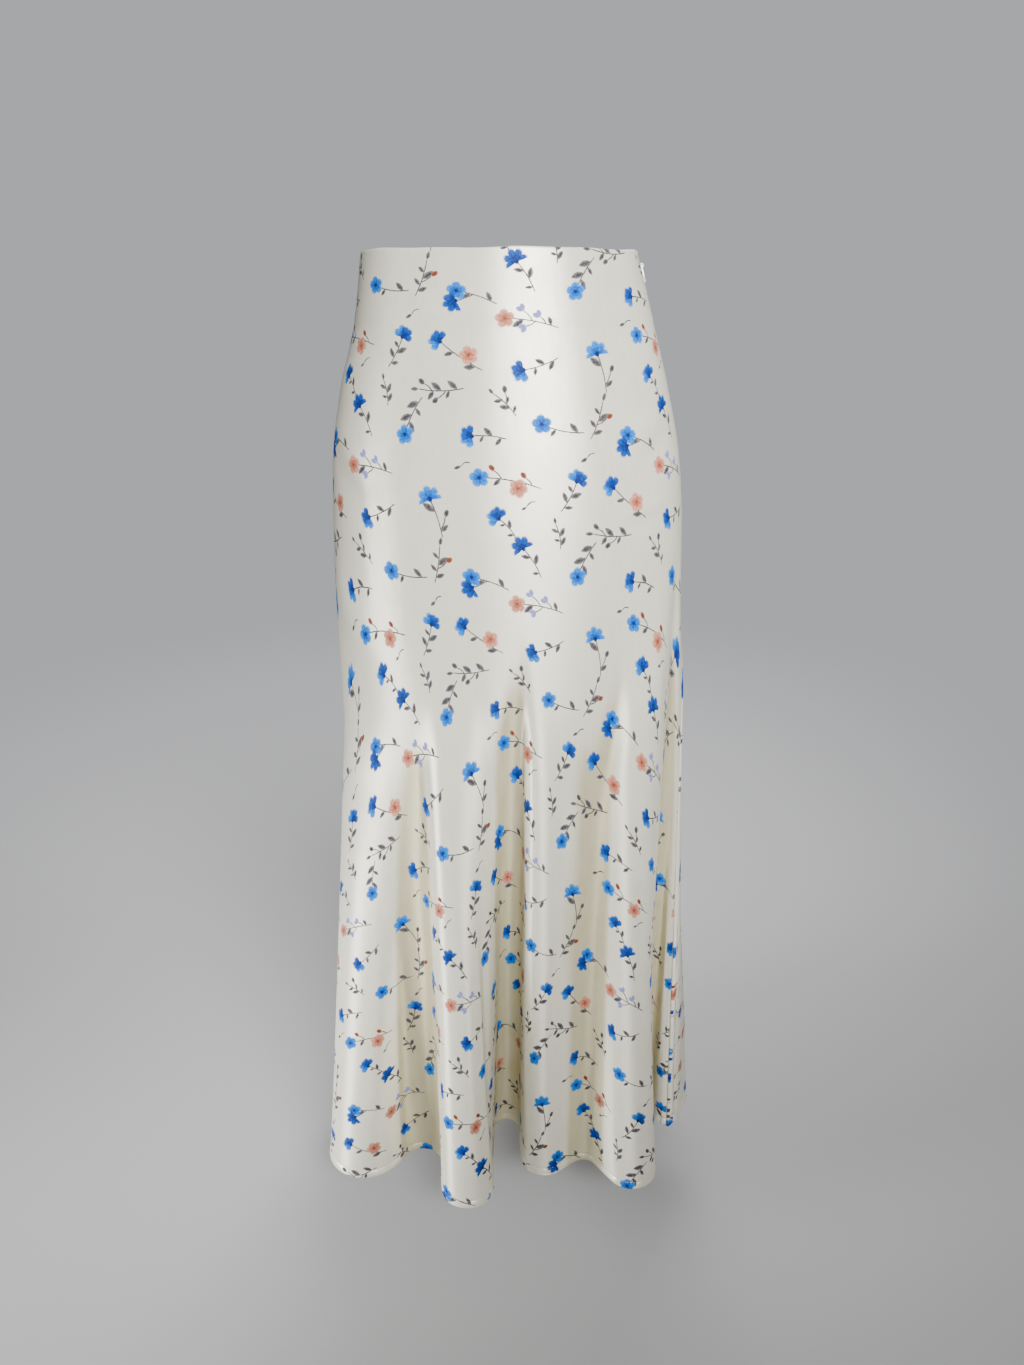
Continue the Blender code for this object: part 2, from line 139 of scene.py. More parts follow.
def smooth_curve(xs: list[float], ys: list[float], x: Array) -> Array:
    """Reads the monotone cubic curve through the points (xs, ys).

    Args:
        xs: The points' places, rising.
        ys: The points' values.
        x: Where the curve is read.

    Returns:
        The curve's values at x.
    """
    places, values = np.asarray(xs, float), np.asarray(ys, float)
    step = np.diff(places)
    slope = np.diff(values) / step
    tangent = np.concatenate(([slope[0]], np.zeros(len(places) - 2), [slope[-1]]))
    before = 2 * step[1:] + step[:-1]
    after = step[1:] + 2 * step[:-1]
    same_way = slope[:-1] * slope[1:] > 0
    earlier = np.where(same_way, slope[:-1], 1.0)
    later = np.where(same_way, slope[1:], 1.0)
    tangent[1:-1] = np.where(same_way, (before + after) / (before / earlier + after / later), 0.0)
    i = np.clip(np.searchsorted(places, x) - 1, 0, len(places) - 2)
    t = (x - places[i]) / step[i]
    return (
        (2 * t**3 - 3 * t**2 + 1) * values[i]
        + (t**3 - 2 * t**2 + t) * step[i] * tangent[i]
        + (3 * t**2 - 2 * t**3) * values[i + 1]
        + (t**3 - t**2) * step[i] * tangent[i + 1]
    )


def soft_step(x: Array, low: float, high: float) -> Array:
    """Rises smoothly from 0 at low to 1 at high."""
    t = np.clip((x - low) / (high - low), 0.0, 1.0)
    return t * t * (3 - 2 * t)


@dataclass(frozen=True)
class Arc:
    """A stretch of the hem line that turns round a bend."""

    length: float
    bend: Bend
    heading: float
    turn: float

    def at(self, share: Array) -> Array:
        """The points at these shares of the arc.

        Args:
            share: The shares.

        Returns:
            x and y of each.
        """
        heading = self.heading + self.turn * share
        reach = self.bend.radius * self.bend.crest
        return np.stack((self.bend.x + np.sin(heading) * reach, self.bend.y - np.cos(heading) * reach), -1)


@dataclass(frozen=True)
class Run:
    """A straight stretch of the hem line between two bends."""

    length: float
    start: Array
    end: Array

    def at(self, share: Array) -> Array:
        """The points at these shares of the run, as x and y."""
        return self.start + (self.end - self.start) * share[..., None]


class HemLine:
    """The hem seen from above: a belt of arcs round the bends and straight runs between them."""

    def __init__(self, bends: tuple[Bend, ...]) -> None:
        """Lays the belt round the bends.

        Args:
            bends: The bends, in order round the hem.
        """
        headings = []
        for bend, following in zip(bends, bends[1:] + bends[:1]):
            across = Vector((following.x - bend.x, following.y - bend.y))
            change = following.radius * following.crest - bend.radius * bend.crest
            headings.append(math.atan2(across.y, across.x) - math.asin(change / across.length))
        self.stretches: list[Arc | Run] = []
        self.middles: list[float] = []
        self.turns: list[float] = []
        self.length = 0.0
        arcs = []
        for i, bend in enumerate(bends):
            turn = (headings[i] - headings[i - 1]) * bend.crest % (2 * math.pi)
            arcs.append(Arc(turn * bend.radius, bend, headings[i - 1], turn * bend.crest))
            self.turns.append(turn)
        for arc, following in zip(arcs, arcs[1:] + arcs[:1]):
            start, end = arc.at(np.array(1.0)), following.at(np.array(0.0))
            run = Run(math.dist(start, end), start, end)
            self.middles.append(self.length + arc.length / 2)
            self.stretches += [arc, run]
            self.length += arc.length + run.length

    def points(self, along: Array) -> Array:
        """The points this far along the hem from the first bend's start, as x and y.

        Args:
            along: How far along each point is.

        Returns:
            x and y of each point.
        """
        along = np.mod(along, self.length)
        result = np.zeros(along.shape + (2,))
        start = 0.0
        for stretch in self.stretches:
            here = (along >= start) & (along <= start + stretch.length)
            result[here] = stretch.at((along[here] - start) / stretch.length)
            start += stretch.length
        return result


@dataclass
class Net:
    """Columns and rows on the worn form.

    angles are round the body, one for each column or for each row and column. places are the columns'
    places along the hem, and depths are the rows' depths below the waist.
    """

    angles: Array
    places: Array
    depths: Array

    @property
    def rows(self) -> Array:
        """The depths, one below the other."""
        return self.depths[:, None]


class Drape:
    """The worn form: a smooth body section at each depth, blended into the fluted hem line."""

    fold_ease = 0.22  # share of a fold's growth in which it eases in
    short_step = 0.5 * MM  # for reading the direction of the cloth

    def __init__(self, sections: tuple[Section, ...], bends: tuple[Bend, ...]) -> None:
        """Lays the cloth round the body.

        Args:
            sections: The body's sections, from the waist down.
            bends: The bends of the hem line.
        """
        self.sections = sections
        self.bends = bends
        self.hem = HemLine(bends)
        self.places = self.round_the_body(self.hem.middles, self.hem.length)
        self.angles = self.round_the_body([bend.angle for bend in bends], 360.0)
        self.starts = self.round_the_body([bend.starts for bend in bends], 0.0)
        self.growths = self.round_the_body([bend.growth for bend in bends], 0.0)

    @staticmethod
    def round_the_body(values: list[float], turn: float) -> list[float]:
        """The bends' values repeated one turn before and after, for reading a closed curve."""
        return [v - turn for v in values] + list(values) + [v + turn for v in values]

    def angle(self, places: Array) -> Array:
        """The angle round the body of the columns that end at these places along the hem."""
        return smooth_curve(self.places, self.angles, places)

    def size(self, side: str, depths: Array) -> Array:
        """One of the body's half widths or half depths at these depths."""
        levels = [section.depth for section in self.sections]
        return smooth_curve(levels, [getattr(section, side) for section in self.sections], depths)

    def net(self, places: Array, depths: Array) -> Net:
        """The net of the columns that end at these places along the hem, with rows at these depths."""
        return Net(self.angle(places), places, depths)

    def fold_share(self, net: Net) -> Array:
        """How far the cloth has gone from the smooth body to the hem line, from 0 to 1.

        Args:
            net: The cloth's net.

        Returns:
            The share at each row and column.
        """
        starts = smooth_curve(self.places, self.starts, net.places)
        grown = np.clip((net.rows - starts) / (SKIRT_LENGTH - starts), 0.0, 1.0)
        ease = soft_step(grown, 0.0, self.fold_ease)
        return grown ** smooth_curve(self.places, self.growths, net.places) * ease

    def outline(self, net: Net) -> Array:
        """The outer side of the cloth.

        Args:
            net: The cloth's net.

        Returns:
            x and y of each row and column.
        """
        across = np.sin(np.radians(net.angles))
        ahead = np.cos(np.radians(net.angles))
        width = np.where(across >= 0, self.size("left", net.rows), self.size("right", net.rows))
        reach = np.where(ahead >= 0, self.size("front", net.rows), self.size("back", net.rows))
        body = np.stack((width * across, -reach * ahead), -1)
        return body + (self.hem.points(net.places) - body) * self.fold_share(net)[..., None]

    def along(self, net: Net) -> Array:
        """The direction in which the cloth runs round the body.

        Args:
            net: The cloth's net.

        Returns:
            x and y of each row and column, one long.
        """
        step = self.short_step
        turn = (self.angle(net.places + step) - self.angle(net.places - step)) / 2
        before = self.outline(Net(net.angles - turn, net.places - step, net.depths))
        after = self.outline(Net(net.angles + turn, net.places + step, net.depths))
        run = after - before
        return run / np.linalg.norm(run, axis=-1, keepdims=True)

    def points(self, net: Net, inset: Array | float, slide: Array | float = 0.0) -> Array:
        """Points of the cloth.

        Args:
            net: The cloth's net.
            inset: How far each point lies inside the cloth's outer side.
            slide: How far each point is moved along its row.

        Returns:
            x, y and z of each row and column.
        """
        outline = self.outline(net)
        along = self.along(net)
        inward = np.stack((-along[..., 1], along[..., 0]), -1)
        shape = outline.shape[:2]
        inset = np.broadcast_to(inset, shape)[..., None]
        slide = np.broadcast_to(slide, shape)[..., None]
        flat = outline + inward * inset + along * slide
        heights = np.broadcast_to(-net.rows, shape)
        return np.concatenate((flat, heights[..., None]), -1)

    def columns(
        self, first: int, last: int, turn_step: float, run_step: float, angle_step: float
    ) -> Array:
        """Places along the hem from the middle of one bend to the middle of another.

        Args:
            first: Index of the first bend.
            last: Index of the last bend, which may lie past the last of the row.
            turn_step: Most radians that a bend turns between two columns.
            run_step: Most length of the hem between two columns.
            angle_step: Most degrees round the body between two columns.

        Returns:
            The columns' places, rising.
        """
        places: list[float] = []
        for i in range(first, last + 1):
            lap, k = divmod(i, len(self.bends))
            middle = self.hem.middles[k] + self.hem.length * lap
            count = 2 * math.ceil(self.hem.turns[k] / turn_step / 2)
            arc = self.hem.turns[k] * self.bends[k].radius
            steps = [middle + arc * (n / count - 0.5) for n in range(count + 1)]
            if i == first:
                steps = steps[count // 2 :]
            if i == last:
                steps = steps[: count // 2 + 1]
            if places:
                gap = steps[0] - places[-1]
                turn = float(self.angle(np.array(steps[0])) - self.angle(np.array(places[-1])))
                pieces = math.ceil(max(gap / run_step, turn / angle_step))
                places += [places[-1] + gap * n / pieces for n in range(1, pieces)]
            places += steps
        return np.array(places)

    def beside_zip(self, distances: Array, depths: Array) -> Array:
        """Angles this far along the cloth from the left seam, to the front if a distance is negative."""
        reach = np.where(distances > 0, *(self.size(half, depths[:, None]) for half in ("back", "front")))
        return self.bends[LEFT_SEAM].angle + np.degrees(distances / reach)


DRAPE = Drape(SECTIONS, BENDS)
SEAM_PLACE = DRAPE.hem.middles[LEFT_SEAM]


# ---- node trees
class Graph:
    """A shader node tree that is filled in the order in which it is worked out."""

    def __init__(self, tree: Tree) -> None:
        """Takes an empty tree."""
        self.tree = tree

    def feed(self, socket: Socket, value: object) -> None:
        """Links a socket to another one, or gives it a plain value. A colour leaves out its alpha.

        Args:
            socket: The socket that is fed.
            value: Another socket, a number, a vector or a colour.
        """
        if isinstance(value, Socket):
            self.tree.links.new(value, socket)
        elif isinstance(value, (int, float)) and socket.type == "VECTOR":
            socket.default_value = (value, value, value)
        elif socket.type == "RGBA":
            socket.default_value = (*value, 1.0)
        else:
            socket.default_value = value

    def fill(self, node: bpy.types.Node, inputs: dict) -> bpy.types.Node:
        """Feeds a node's inputs.

        Args:
            node: The node.
            inputs: Values and sockets by the input's name or number.

        Returns:
            The node.
        """
        for key, value in inputs.items():
            self.feed(node.inputs[key], value)
        return node

    def add(self, kind: str, inputs: dict | None = None, **settings: object) -> bpy.types.Node:
        """Adds a node.

        Args:
            kind: The node's type without its ShaderNode prefix.
            inputs: Values or sockets for its inputs, by name or number.
            settings: The node's own settings.

        Returns:
            The new node.
        """
        node = self.tree.nodes.new("ShaderNode" + kind)
        for name, value in settings.items():
            setattr(node, name, value)
        return self.fill(node, inputs or {})

    def math(self, operation: str, *values: object) -> Socket:
        """A Math node's result."""
        return self.add("Math", dict(enumerate(values)), operation=operation).outputs[0]

    def vector(self, operation: str, *values: object) -> Socket:
        """A Vector Math node's vector."""
        return self.add("VectorMath", dict(enumerate(values)), operation=operation).outputs["Vector"]

    def split(self, vector: Socket) -> tuple[Socket, Socket, Socket]:
        """The three parts of a vector."""
        node = self.add("SeparateXYZ", {"Vector": vector})
        return node.outputs[0], node.outputs[1], node.outputs[2]

    def least(self, vector: Socket) -> Socket:
        """The least of a vector's three parts."""
        x, y, z = self.split(vector)
        return self.math("MINIMUM", self.math("MINIMUM", x, y), z)

    def noise(self, vector: Socket, scale: float, detail: float = 2.0) -> bpy.types.Node:
        """A Noise Texture node."""
        return self.add("TexNoise", {"Vector": vector, "Scale": scale, "Detail": detail})

    def ramp(self, value: Socket, low: float, high: float, to: Pair = (0.0, 1.0)) -> Socket:
        """A smooth change from to[0] where value is low to to[1] where it is high."""
        inputs = {"Value": value, "From Min": low, "From Max": high, "To Min": to[0], "To Max": to[1]}
        return self.add("MapRange", inputs, interpolation_type="SMOOTHSTEP").outputs["Result"]

    def bump(self, height: Socket, strength: float, distance: float) -> Socket:
        """The normal of a surface with a height on it."""
        inputs = {"Height": height, "Strength": strength, "Distance": distance}
        return self.add("Bump", inputs).outputs["Normal"]

    def cloth_layout(self) -> Socket:
        """A piece's place on the flat cloth."""
        return self.add("UVMap", uv_map="cloth").outputs["UV"]

    def mix(self, share: object, first: object, second: object) -> Socket:
        """A mix of two colours.

        Args:
            share: How much of the second colour there is.
            first: The first colour.
            second: The second colour.

        Returns:
            The mixed colour.
        """
        node = self.add("Mix", data_type="RGBA")
        self.feed(node.inputs["Factor"], share)
        for name, value in (("A", first), ("B", second)):
            socket = next(s for s in node.inputs if s.name == name and s.type == "RGBA")
            self.feed(socket, value)
        return next(s for s in node.outputs if s.type == "RGBA")

    def use(self, group: Tree, inputs: dict) -> bpy.types.Node:
        """Places a node group."""
        return self.add("Group", inputs, node_tree=group)


class Group:
    """A shader node group that is being made."""

    def __init__(self, name: str, inputs: dict[str, str], outputs: dict[str, str]) -> None:
        """Starts the group.

        Args:
            name: The group's name.
            inputs: Its inputs' names and kinds, such as Float, Vector or Color.
            outputs: Its outputs' names and kinds.
        """
        self.tree = bpy.data.node_groups.new(name, "ShaderNodeTree")
        for way, sockets in (("INPUT", inputs), ("OUTPUT", outputs)):
            for label, kind in sockets.items():
                self.tree.interface.new_socket(label, in_out=way, socket_type="NodeSocket" + kind)
        self.graph = Graph(self.tree)
        self.inputs = self.tree.nodes.new("NodeGroupInput").outputs

    def finish(self, **results: Socket) -> Tree:
        """Links the results to the group's outputs and returns the group.

        Args:
            results: The socket for each output, by name.

        Returns:
            The finished group.
        """
        end = self.tree.nodes.new("NodeGroupOutput")
        for label, socket in results.items():
            self.graph.feed(end.inputs[label], socket)
        return self.tree


def new_material(name: str) -> tuple[Finish, Graph, bpy.types.Node]:
    """Starts a material.

    Args:
        name: Its name.

    Returns:
        The material, its node graph and its Principled shader.
    """
    material = bpy.data.materials.new(name)
    material.use_nodes = True
    graph = Graph(material.node_tree)
    return material, graph, material.node_tree.nodes["Principled BSDF"]


# ---- the floral print
def polar(length: float, way: float) -> Vector:
    """A step of a length towards a way in degrees."""
    return Vector((length * math.cos(math.radians(way)), length * math.sin(math.radians(way))))


class Ink(Enum):
    """The inks of the print in the order in which they lie on each other: (pale, strong) colours."""

    STEM = ((0.046, 0.041, 0.045), (0.020, 0.018, 0.021))
    LEAF = ((0.150, 0.138, 0.146), (0.034, 0.031, 0.036))
    LILAC = ((0.310, 0.320, 0.590), (0.180, 0.190, 0.430))
    PEACH = ((0.560, 0.250, 0.170), (0.330, 0.095, 0.060))
    SKY = ((0.000, 0.185, 0.620), (0.000, 0.056, 0.330))
    DEEP = ((0.000, 0.064, 0.350), (0.000, 0.015, 0.125))
    RUST = ((0.300, 0.085, 0.045), (0.140, 0.030, 0.016))
    NAVY = ((0.000, 0.025, 0.170), (0.000, 0.010, 0.080))


@dataclass(frozen=True)
class Stroke:
    """One brush stroke between two points, in millimetres from its sprig's middle: x right, y up."""

    start: Vector
    end: Vector
    wide: float
    ink: Ink = Ink.LEAF

    bow = 0.0
    fullness = 0.5  # half width for its width


@dataclass(frozen=True)
class Petal(Stroke):
    """An oval stroke."""


@dataclass(frozen=True)
class Leaf(Stroke):
    """A pointed stroke."""

    fullness = 0.65


@dataclass(frozen=True)
class Stem(Stroke):
    """A thin stroke that bows to its left by bow."""

    wide: float = 1.0
    ink: Ink = Ink.STEM
    bow: float = 0.0


@dataclass(frozen=True)
class Rosette:
    """A flower with rounded petals round its heart, whole or, seen from the side, as a fan.

    turn is the way its first petal points, in degrees from the right. squash narrows the flower
    across that way. petals is their number in a full turn and fan how far round they reach.
    """

    x: float
    y: float
    radius: float
    turn: float
    squash: float
    ink: Ink = Ink.SKY
    heart: Ink = Ink.NAVY
    petals: float = 5.0
    fan: float = 200.0


class Bloom(Enum):
    """The flowers of the print."""

    OPEN = "face on, pale blue"
    FAN = "from the side, pale blue"
    CUPPED = "from the side, deep blue"
    TURNED = "from the side, half pale and half deep blue"
    PEACH = "face on, peach"

    def rosettes(self, x: float, y: float, way: float) -> list[Rosette]:
        """The flower at a place, facing a way in degrees.

        Args:
            x: Its place across.
            y: Its place up.
            way: The way it faces.

        Returns:
            Its rosettes.
        """
        if self is Bloom.FAN:
            return [Rosette(x, y, 11.5, way, 0.95, petals=7.2, fan=100.0)]
        if self is Bloom.CUPPED:
            return [Rosette(x, y, 11.5, way, 0.85, Ink.DEEP, petals=7.5, fan=98.0)]
        if self is Bloom.TURNED:
            pale = Rosette(x, y, 10.5, way + 34.0, 0.85, petals=7.0, fan=76.0)
            return [pale, Rosette(x, y, 10.5, way - 34.0, 0.80, Ink.DEEP, petals=7.0, fan=72.0)]
        if self is Bloom.PEACH:
            return [Rosette(x, y, 8.0, way, 1.0, Ink.PEACH, Ink.RUST)]
        return [Rosette(x, y, 8.6, way, 0.92)]


@dataclass(frozen=True)
class Twig:
    """A side twig with a bud or a flower at its end.

    share is how far along the stem it leaves, and side is 1 to the stem's left and -1 to its right.
    """

    share: float
    side: int
    reach: float
    tip: Ink | Bloom

    lean = 140.0  # from the stem's way to the twig's, in degrees
    bow = 0.8
    bud_length = 6.5
    bud_width = 4.4
    bud_spread = 26.0  # how far a lilac pair of buds leans apart from the twig's way

    def drawn(self, foot: Vector, heading: float) -> tuple[list[Stroke], list[Rosette]]:
        """The twig's strokes and flowers.

        Args:
            foot: Where it leaves the stem.
            heading: The way the stem runs there, in degrees.

        Returns:
            The strokes and the rosettes.
        """
        way = heading + self.side * self.lean
        end = foot + polar(self.reach, way)
        strokes: list[Stroke] = [Stem(foot, end, bow=-self.bow * self.side)]
        if isinstance(self.tip, Bloom):
            return strokes, self.tip.rosettes(end.x, end.y, way)
        for turn in (-self.bud_spread, self.bud_spread) if self.tip is Ink.LILAC else (0.0,):
            strokes.append(Petal(end, end + polar(self.bud_length, way + turn), self.bud_width, self.tip))
        return strokes, []


@dataclass(frozen=True)
class Sprig:
    """A flower, or a leaf where it has none, on a bowed stem with leaves by turns on its two sides.

    x and y are the flower's rough place in the repeat. The stem runs from it towards heading, in degrees.
    """

    name: str
    x: float
    y: float
    bloom: Bloom | None
    heading: float
    stem: float
    leaves: int = 3
    leaf: float = 9.0
    bow: float = 1.5
    twigs: tuple[Twig, ...] = ()

    first_leaf = 0.34  # share of the stem from the flower to its first leaf
    last_leaf = 0.86
    top_leaf = 0.8  # length of the leaf in a flower's place, for the others'
    leaf_lean = 130.0  # from the stem's way to a leaf's, in degrees
    uneven_lean = 14.0  # how much leaves differ from each other in their lean
    uneven_length = 0.24
    uneven_step = 2.4
    slenderness = 0.34  # a leaf's width for its length

    def on_stem(self, share: float) -> Vector:
        """A point of the stem, where 0 is the flower and 1 the cut end."""
        aside = 4 * self.bow * share * (1 - share)
        return polar(self.stem * share, self.heading) + polar(aside, self.heading + 90)

    def grown_leaf(self, foot: Vector, way: float, length: float) -> Leaf:
        """A leaf from its foot."""
        return Leaf(foot, foot + polar(length, way), self.slenderness * length)

    def drawn(self) -> tuple[list[Stroke], list[Rosette]]:
        """Grows the sprig.

        Returns:
            Its strokes and its flowers.
        """
        strokes: list[Stroke] = [Stem(self.on_stem(0.0), self.on_stem(1.0), bow=self.bow)]
        rosettes = self.bloom.rosettes(0.0, 0.0, self.heading + 180) if self.bloom else []
        if not self.bloom:
            length = self.top_leaf * self.leaf
            strokes.append(self.grown_leaf(self.on_stem(0.0), self.heading + 180, length))
        gap = (self.last_leaf - self.first_leaf) / max(1, self.leaves - 1)
        for number in range(self.leaves):
            foot = self.on_stem(self.first_leaf + gap * number)
            uneven = math.sin(self.x + self.y + self.uneven_step * number)
            lean = self.leaf_lean + self.uneven_lean * uneven
            way = self.heading + (lean if number % 2 else -lean)
            length = self.leaf * (1 + self.uneven_length * uneven)
            strokes.append(self.grown_leaf(foot, way, length))
        for twig in self.twigs:
            more, flowers = twig.drawn(self.on_stem(twig.share), self.heading)
            strokes += more
            rosettes += flowers
        return strokes, rosettes


SPRIGS = (
    Sprig("cupped bloom", 0, 0, Bloom.CUPPED, -60, 30),
    Sprig("long-leaved bloom", 50, -25, Bloom.OPEN, 60, 36, leaves=4, leaf=11),
    Sprig("bloom pair", -50, -25, Bloom.OPEN, -20, 36, leaves=2, twigs=(Twig(0.4, -1, 16, Bloom.CUPPED),)),
    Sprig("lilac spray", -10, -50, Bloom.PEACH, -10, 46, leaves=2, leaf=11, bow=2.0, twigs=(
        Twig(0.50, 1, 12, Ink.LILAC), Twig(0.55, -1, 9, Ink.LILAC), Twig(0.75, 1, 8, Ink.LILAC),
    )),
    Sprig("single leaf", -90, -45, None, 30, 8, leaves=0),
    Sprig("leafy bloom", -100, -65, Bloom.TURNED, -120, 30, leaves=4, leaf=10),
    Sprig("bloom and peach", -65, -70, Bloom.TURNED, -35, 44, bow=-1.5, twigs=(
        Twig(0.75, 1, 8, Bloom.PEACH),
    )),
    Sprig("slanting bloom", 5, -95, Bloom.TURNED, 20, 32, bow=-1.5),
    Sprig("tall bloom", 70, -80, Bloom.FAN, -75, 34, leaves=2, leaf=12, twigs=(
        Twig(0.8, 1, 12, Ink.LEAF),
    )),
    Sprig("small bloom", -20, -220, Bloom.TURNED, -50, 22, leaf=7),
    Sprig("budding branch", -85, -110, None, 0, 40, leaves=4, leaf=10, bow=-2.0, twigs=(
        Twig(0.3, 1, 9, Ink.LEAF), Twig(0.6, -1, 9, Ink.LEAF),
    )),
    Sprig("thin twig", 30, -225, None, -80, 22, leaves=4, leaf=8),
    Sprig("bud twig", -20, -115, None, -45, 26, leaves=4, leaf=8, twigs=(Twig(0.5, 1, 9, Ink.LEAF),)),
    Sprig("trailing bloom", 20, -140, Bloom.OPEN, -10, 38, leaves=2, bow=-2.4),
    Sprig("leafy sprig", 75, -120, None, -110, 34, leaves=4, leaf=10, twigs=(Twig(0.6, 1, 11, Ink.RUST),)),
    Sprig("level bloom", -40, -150, Bloom.TURNED, -5, 30),
    Sprig("long spray", -35, -185, Bloom.OPEN, -10, 54, leaves=1, bow=2.4, twigs=(
        Twig(0.35, 1, 9, Ink.RUST), Twig(0.75, -1, 8, Bloom.PEACH), Twig(0.85, 1, 8, Ink.RUST),
    )),
    Sprig("seed bud", 5, -210, None, 30, 9, leaves=0, leaf=7),
    Sprig("second leaf", -50, -175, None, 20, 8, leaves=0),
)


class FloralPrint:
    """The half-drop repeat of small blue flowers, as a node group on the flat cloth."""

    column = 150.0  # from one column of the repeat to the next, in millimetres
    drop = 123.0  # how far the next column is set lower
    lanes = 3  # strokes that one vector works out together
    far = 1000.0
    shake = 0.9  # how far the brush strays, in millimetres
    brush_scale = 0.45
    petal_reach = 0.68  # of the seam between two petals, for the flower's radius
    petal_lobe = 0.36  # how much further a petal's middle reaches
    fan_edge = 6.0  # how sharply a fan of petals ends at its sides
    vein = 1.3  # how strongly the seams between petals are painted
    heart = 4.6  # the flower's radius for its heart's
    edge = (1.12, 0.86)  # from bare cloth to full ink, where 1 is a stroke's outline
    wash = (0.25, 1.25)  # from strong to pale ink, from a stroke's middle outwards

    def __init__(self) -> None:
        """Makes the groups that the print is put together from."""
        self.stroke_groups = {kind: self.make_stroke_group(kind) for kind in (Petal, Leaf, Stem)}
        self.place_group = self.make_place_group()
        self.rosette_group = self.make_rosette_group()
        self.group = self.make_print()

    def make_place_group(self) -> Tree:
        """Makes the group that measures a place on the cloth from the nearest copy of a sprig.

        Returns:
            The group.
        """
        sockets = {name: "Vector" for name in ("X", "Y", "Middle X", "Middle Y")}
        group = Group("sprig place", sockets, {"X": "Vector", "Y": "Vector"})
        g, given = group.graph, group.inputs
        across = g.vector("SUBTRACT", given["X"], given["Middle X"])
        x = g.vector("WRAP", across, self.column / 2, -self.column / 2)
        columns = g.vector("SUBTRACT", across, x)
        up = g.vector("SUBTRACT", given["Y"], given["Middle Y"])
        up = g.vector("MULTIPLY_ADD", columns, self.drop / self.column, up)
        return group.finish(X=x, Y=g.vector("WRAP", up, self.drop, -self.drop))

    def make_frame(self, name: str, kind: str, more: dict[str, str], results: dict[str, str]) -> Group:
        """Starts a group that is given a place and the frame of a stroke or a flower.

        Args:
            name: The group's name.
            kind: The kind of the frame's numbers, Vector or Float.
            more: The other inputs' names and kinds.
            results: The outputs' names and kinds.

        Returns:
            The group.
        """
        numbers = {f"{way} {part}": kind for way in ("Along", "Across") for part in ("X", "Y", "Shift")}
        return Group(name, {"X": "Vector", "Y": "Vector", **numbers, **more}, results)

    def make_stroke_group(self, kind: type[Stroke]) -> Tree:
        """Group that says how near a place is to three strokes of a kind: under 1 is inside.

        Args:
            kind: The kind of stroke.

        Returns:
            The group.
        """
        name = f"three {kind.__name__.lower()} strokes"
        more = {"Bow": "Vector", "Nearest": "Vector"}
        group = self.make_frame(name, "Vector", more, {"Nearest": "Vector"})
        g, given = group.graph, group.inputs
        along, across = (
            g.vector("MULTIPLY_ADD", given["X"], given[f"{way} X"],
                     g.vector("MULTIPLY_ADD", given["Y"], given[f"{way} Y"], given[f"{way} Shift"]))
            for way in ("Along", "Across")
        )
        if kind is Petal:
            near = g.vector("MULTIPLY_ADD", along, along, g.vector("MULTIPLY", across, across))
        elif kind is Leaf:
            near = g.vector("MULTIPLY_ADD", along, along, g.vector("ABSOLUTE", across))
        else:
            square = g.vector("MULTIPLY", along, along)
            bowed = g.vector("ABSOLUTE", g.vector("MULTIPLY_ADD", given["Bow"], square, across))
            near = g.vector("MAXIMUM", square, bowed)
        return group.finish(Nearest=g.vector("MINIMUM", near, given["Nearest"]))

    def make_rosette_group(self) -> Tree:
        """Makes the group that says how near a place is to a flower's petals and its heart.

        Returns:
            The group.
        """
        more = {"Petals": "Float", "Fan": "Float"}
        group = self.make_frame("rosette", "Float", more, {"Petals": "Float", "Heart": "Float"})
        g, given = group.graph, group.inputs
        x, y = g.split(given["X"])[0], g.split(given["Y"])[0]
        along, across = (
            g.math("MULTIPLY_ADD", y, given[f"{way} Y"],
                   g.math("MULTIPLY_ADD", x, given[f"{way} X"], given[f"{way} Shift"]))
            for way in ("Along", "Across")
        )
        reach = g.math("SQRT", g.math("MULTIPLY_ADD", along, along, g.math("MULTIPLY", across, across)))
        angle = g.math("ARCTAN2", across, along)
        turned = g.math("MULTIPLY", g.math("MULTIPLY", angle, given["Petals"]), 0.5)
        lobes = g.math("SQRT", g.math("ABSOLUTE", g.math("COSINE", turned)))
        rim = g.math("MULTIPLY_ADD", lobes, self.petal_lobe, self.petal_reach)
        beyond = g.math("MAXIMUM", g.math("SUBTRACT", g.math("ABSOLUTE", angle), given["Fan"]), 0.0)
        petals = g.math("MULTIPLY_ADD", beyond, self.fan_edge, g.math("DIVIDE", reach, rim))
        seam = g.math("POWER", g.math("SUBTRACT", 1.0, lobes), 1.5)
        inner = g.math("MAXIMUM", g.math("SUBTRACT", 1.0, petals), 0.0)
        veined = g.math("MULTIPLY_ADD", g.math("MULTIPLY", seam, inner), -self.vein, petals)
        return group.finish(Petals=veined, Heart=g.math("MULTIPLY", reach, self.heart))

    def lane_values(self, strokes: list[Stroke]) -> dict[str, list[float]]:
        """The numbers of up to three strokes, one stroke in each lane of every vector.

        Args:
            strokes: The strokes, of one kind.

        Returns:
            The stroke group's inputs, by name.
        """
        names = ("Along X", "Along Y", "Along Shift", "Across X", "Across Y", "Across Shift", "Bow")
        values = {name: [0.0] * self.lanes for name in names}
        values["Across Shift"] = [self.far] * self.lanes
        for lane, stroke in enumerate(strokes):
            half = (stroke.end - stroke.start).length / 2
            half_width = stroke.wide * stroke.fullness
            right, up = (stroke.end - stroke.start).normalized()
            x, y = (stroke.start + stroke.end) / 2
            bow = stroke.bow / half_width
            row = (
                right / half, up / half, -(x * right + y * up) / half,
                -up / half_width, right / half_width, (x * up - y * right) / half_width - bow, bow,
            )
            for name, value in zip(names, row):
                values[name][lane] = value
        return values

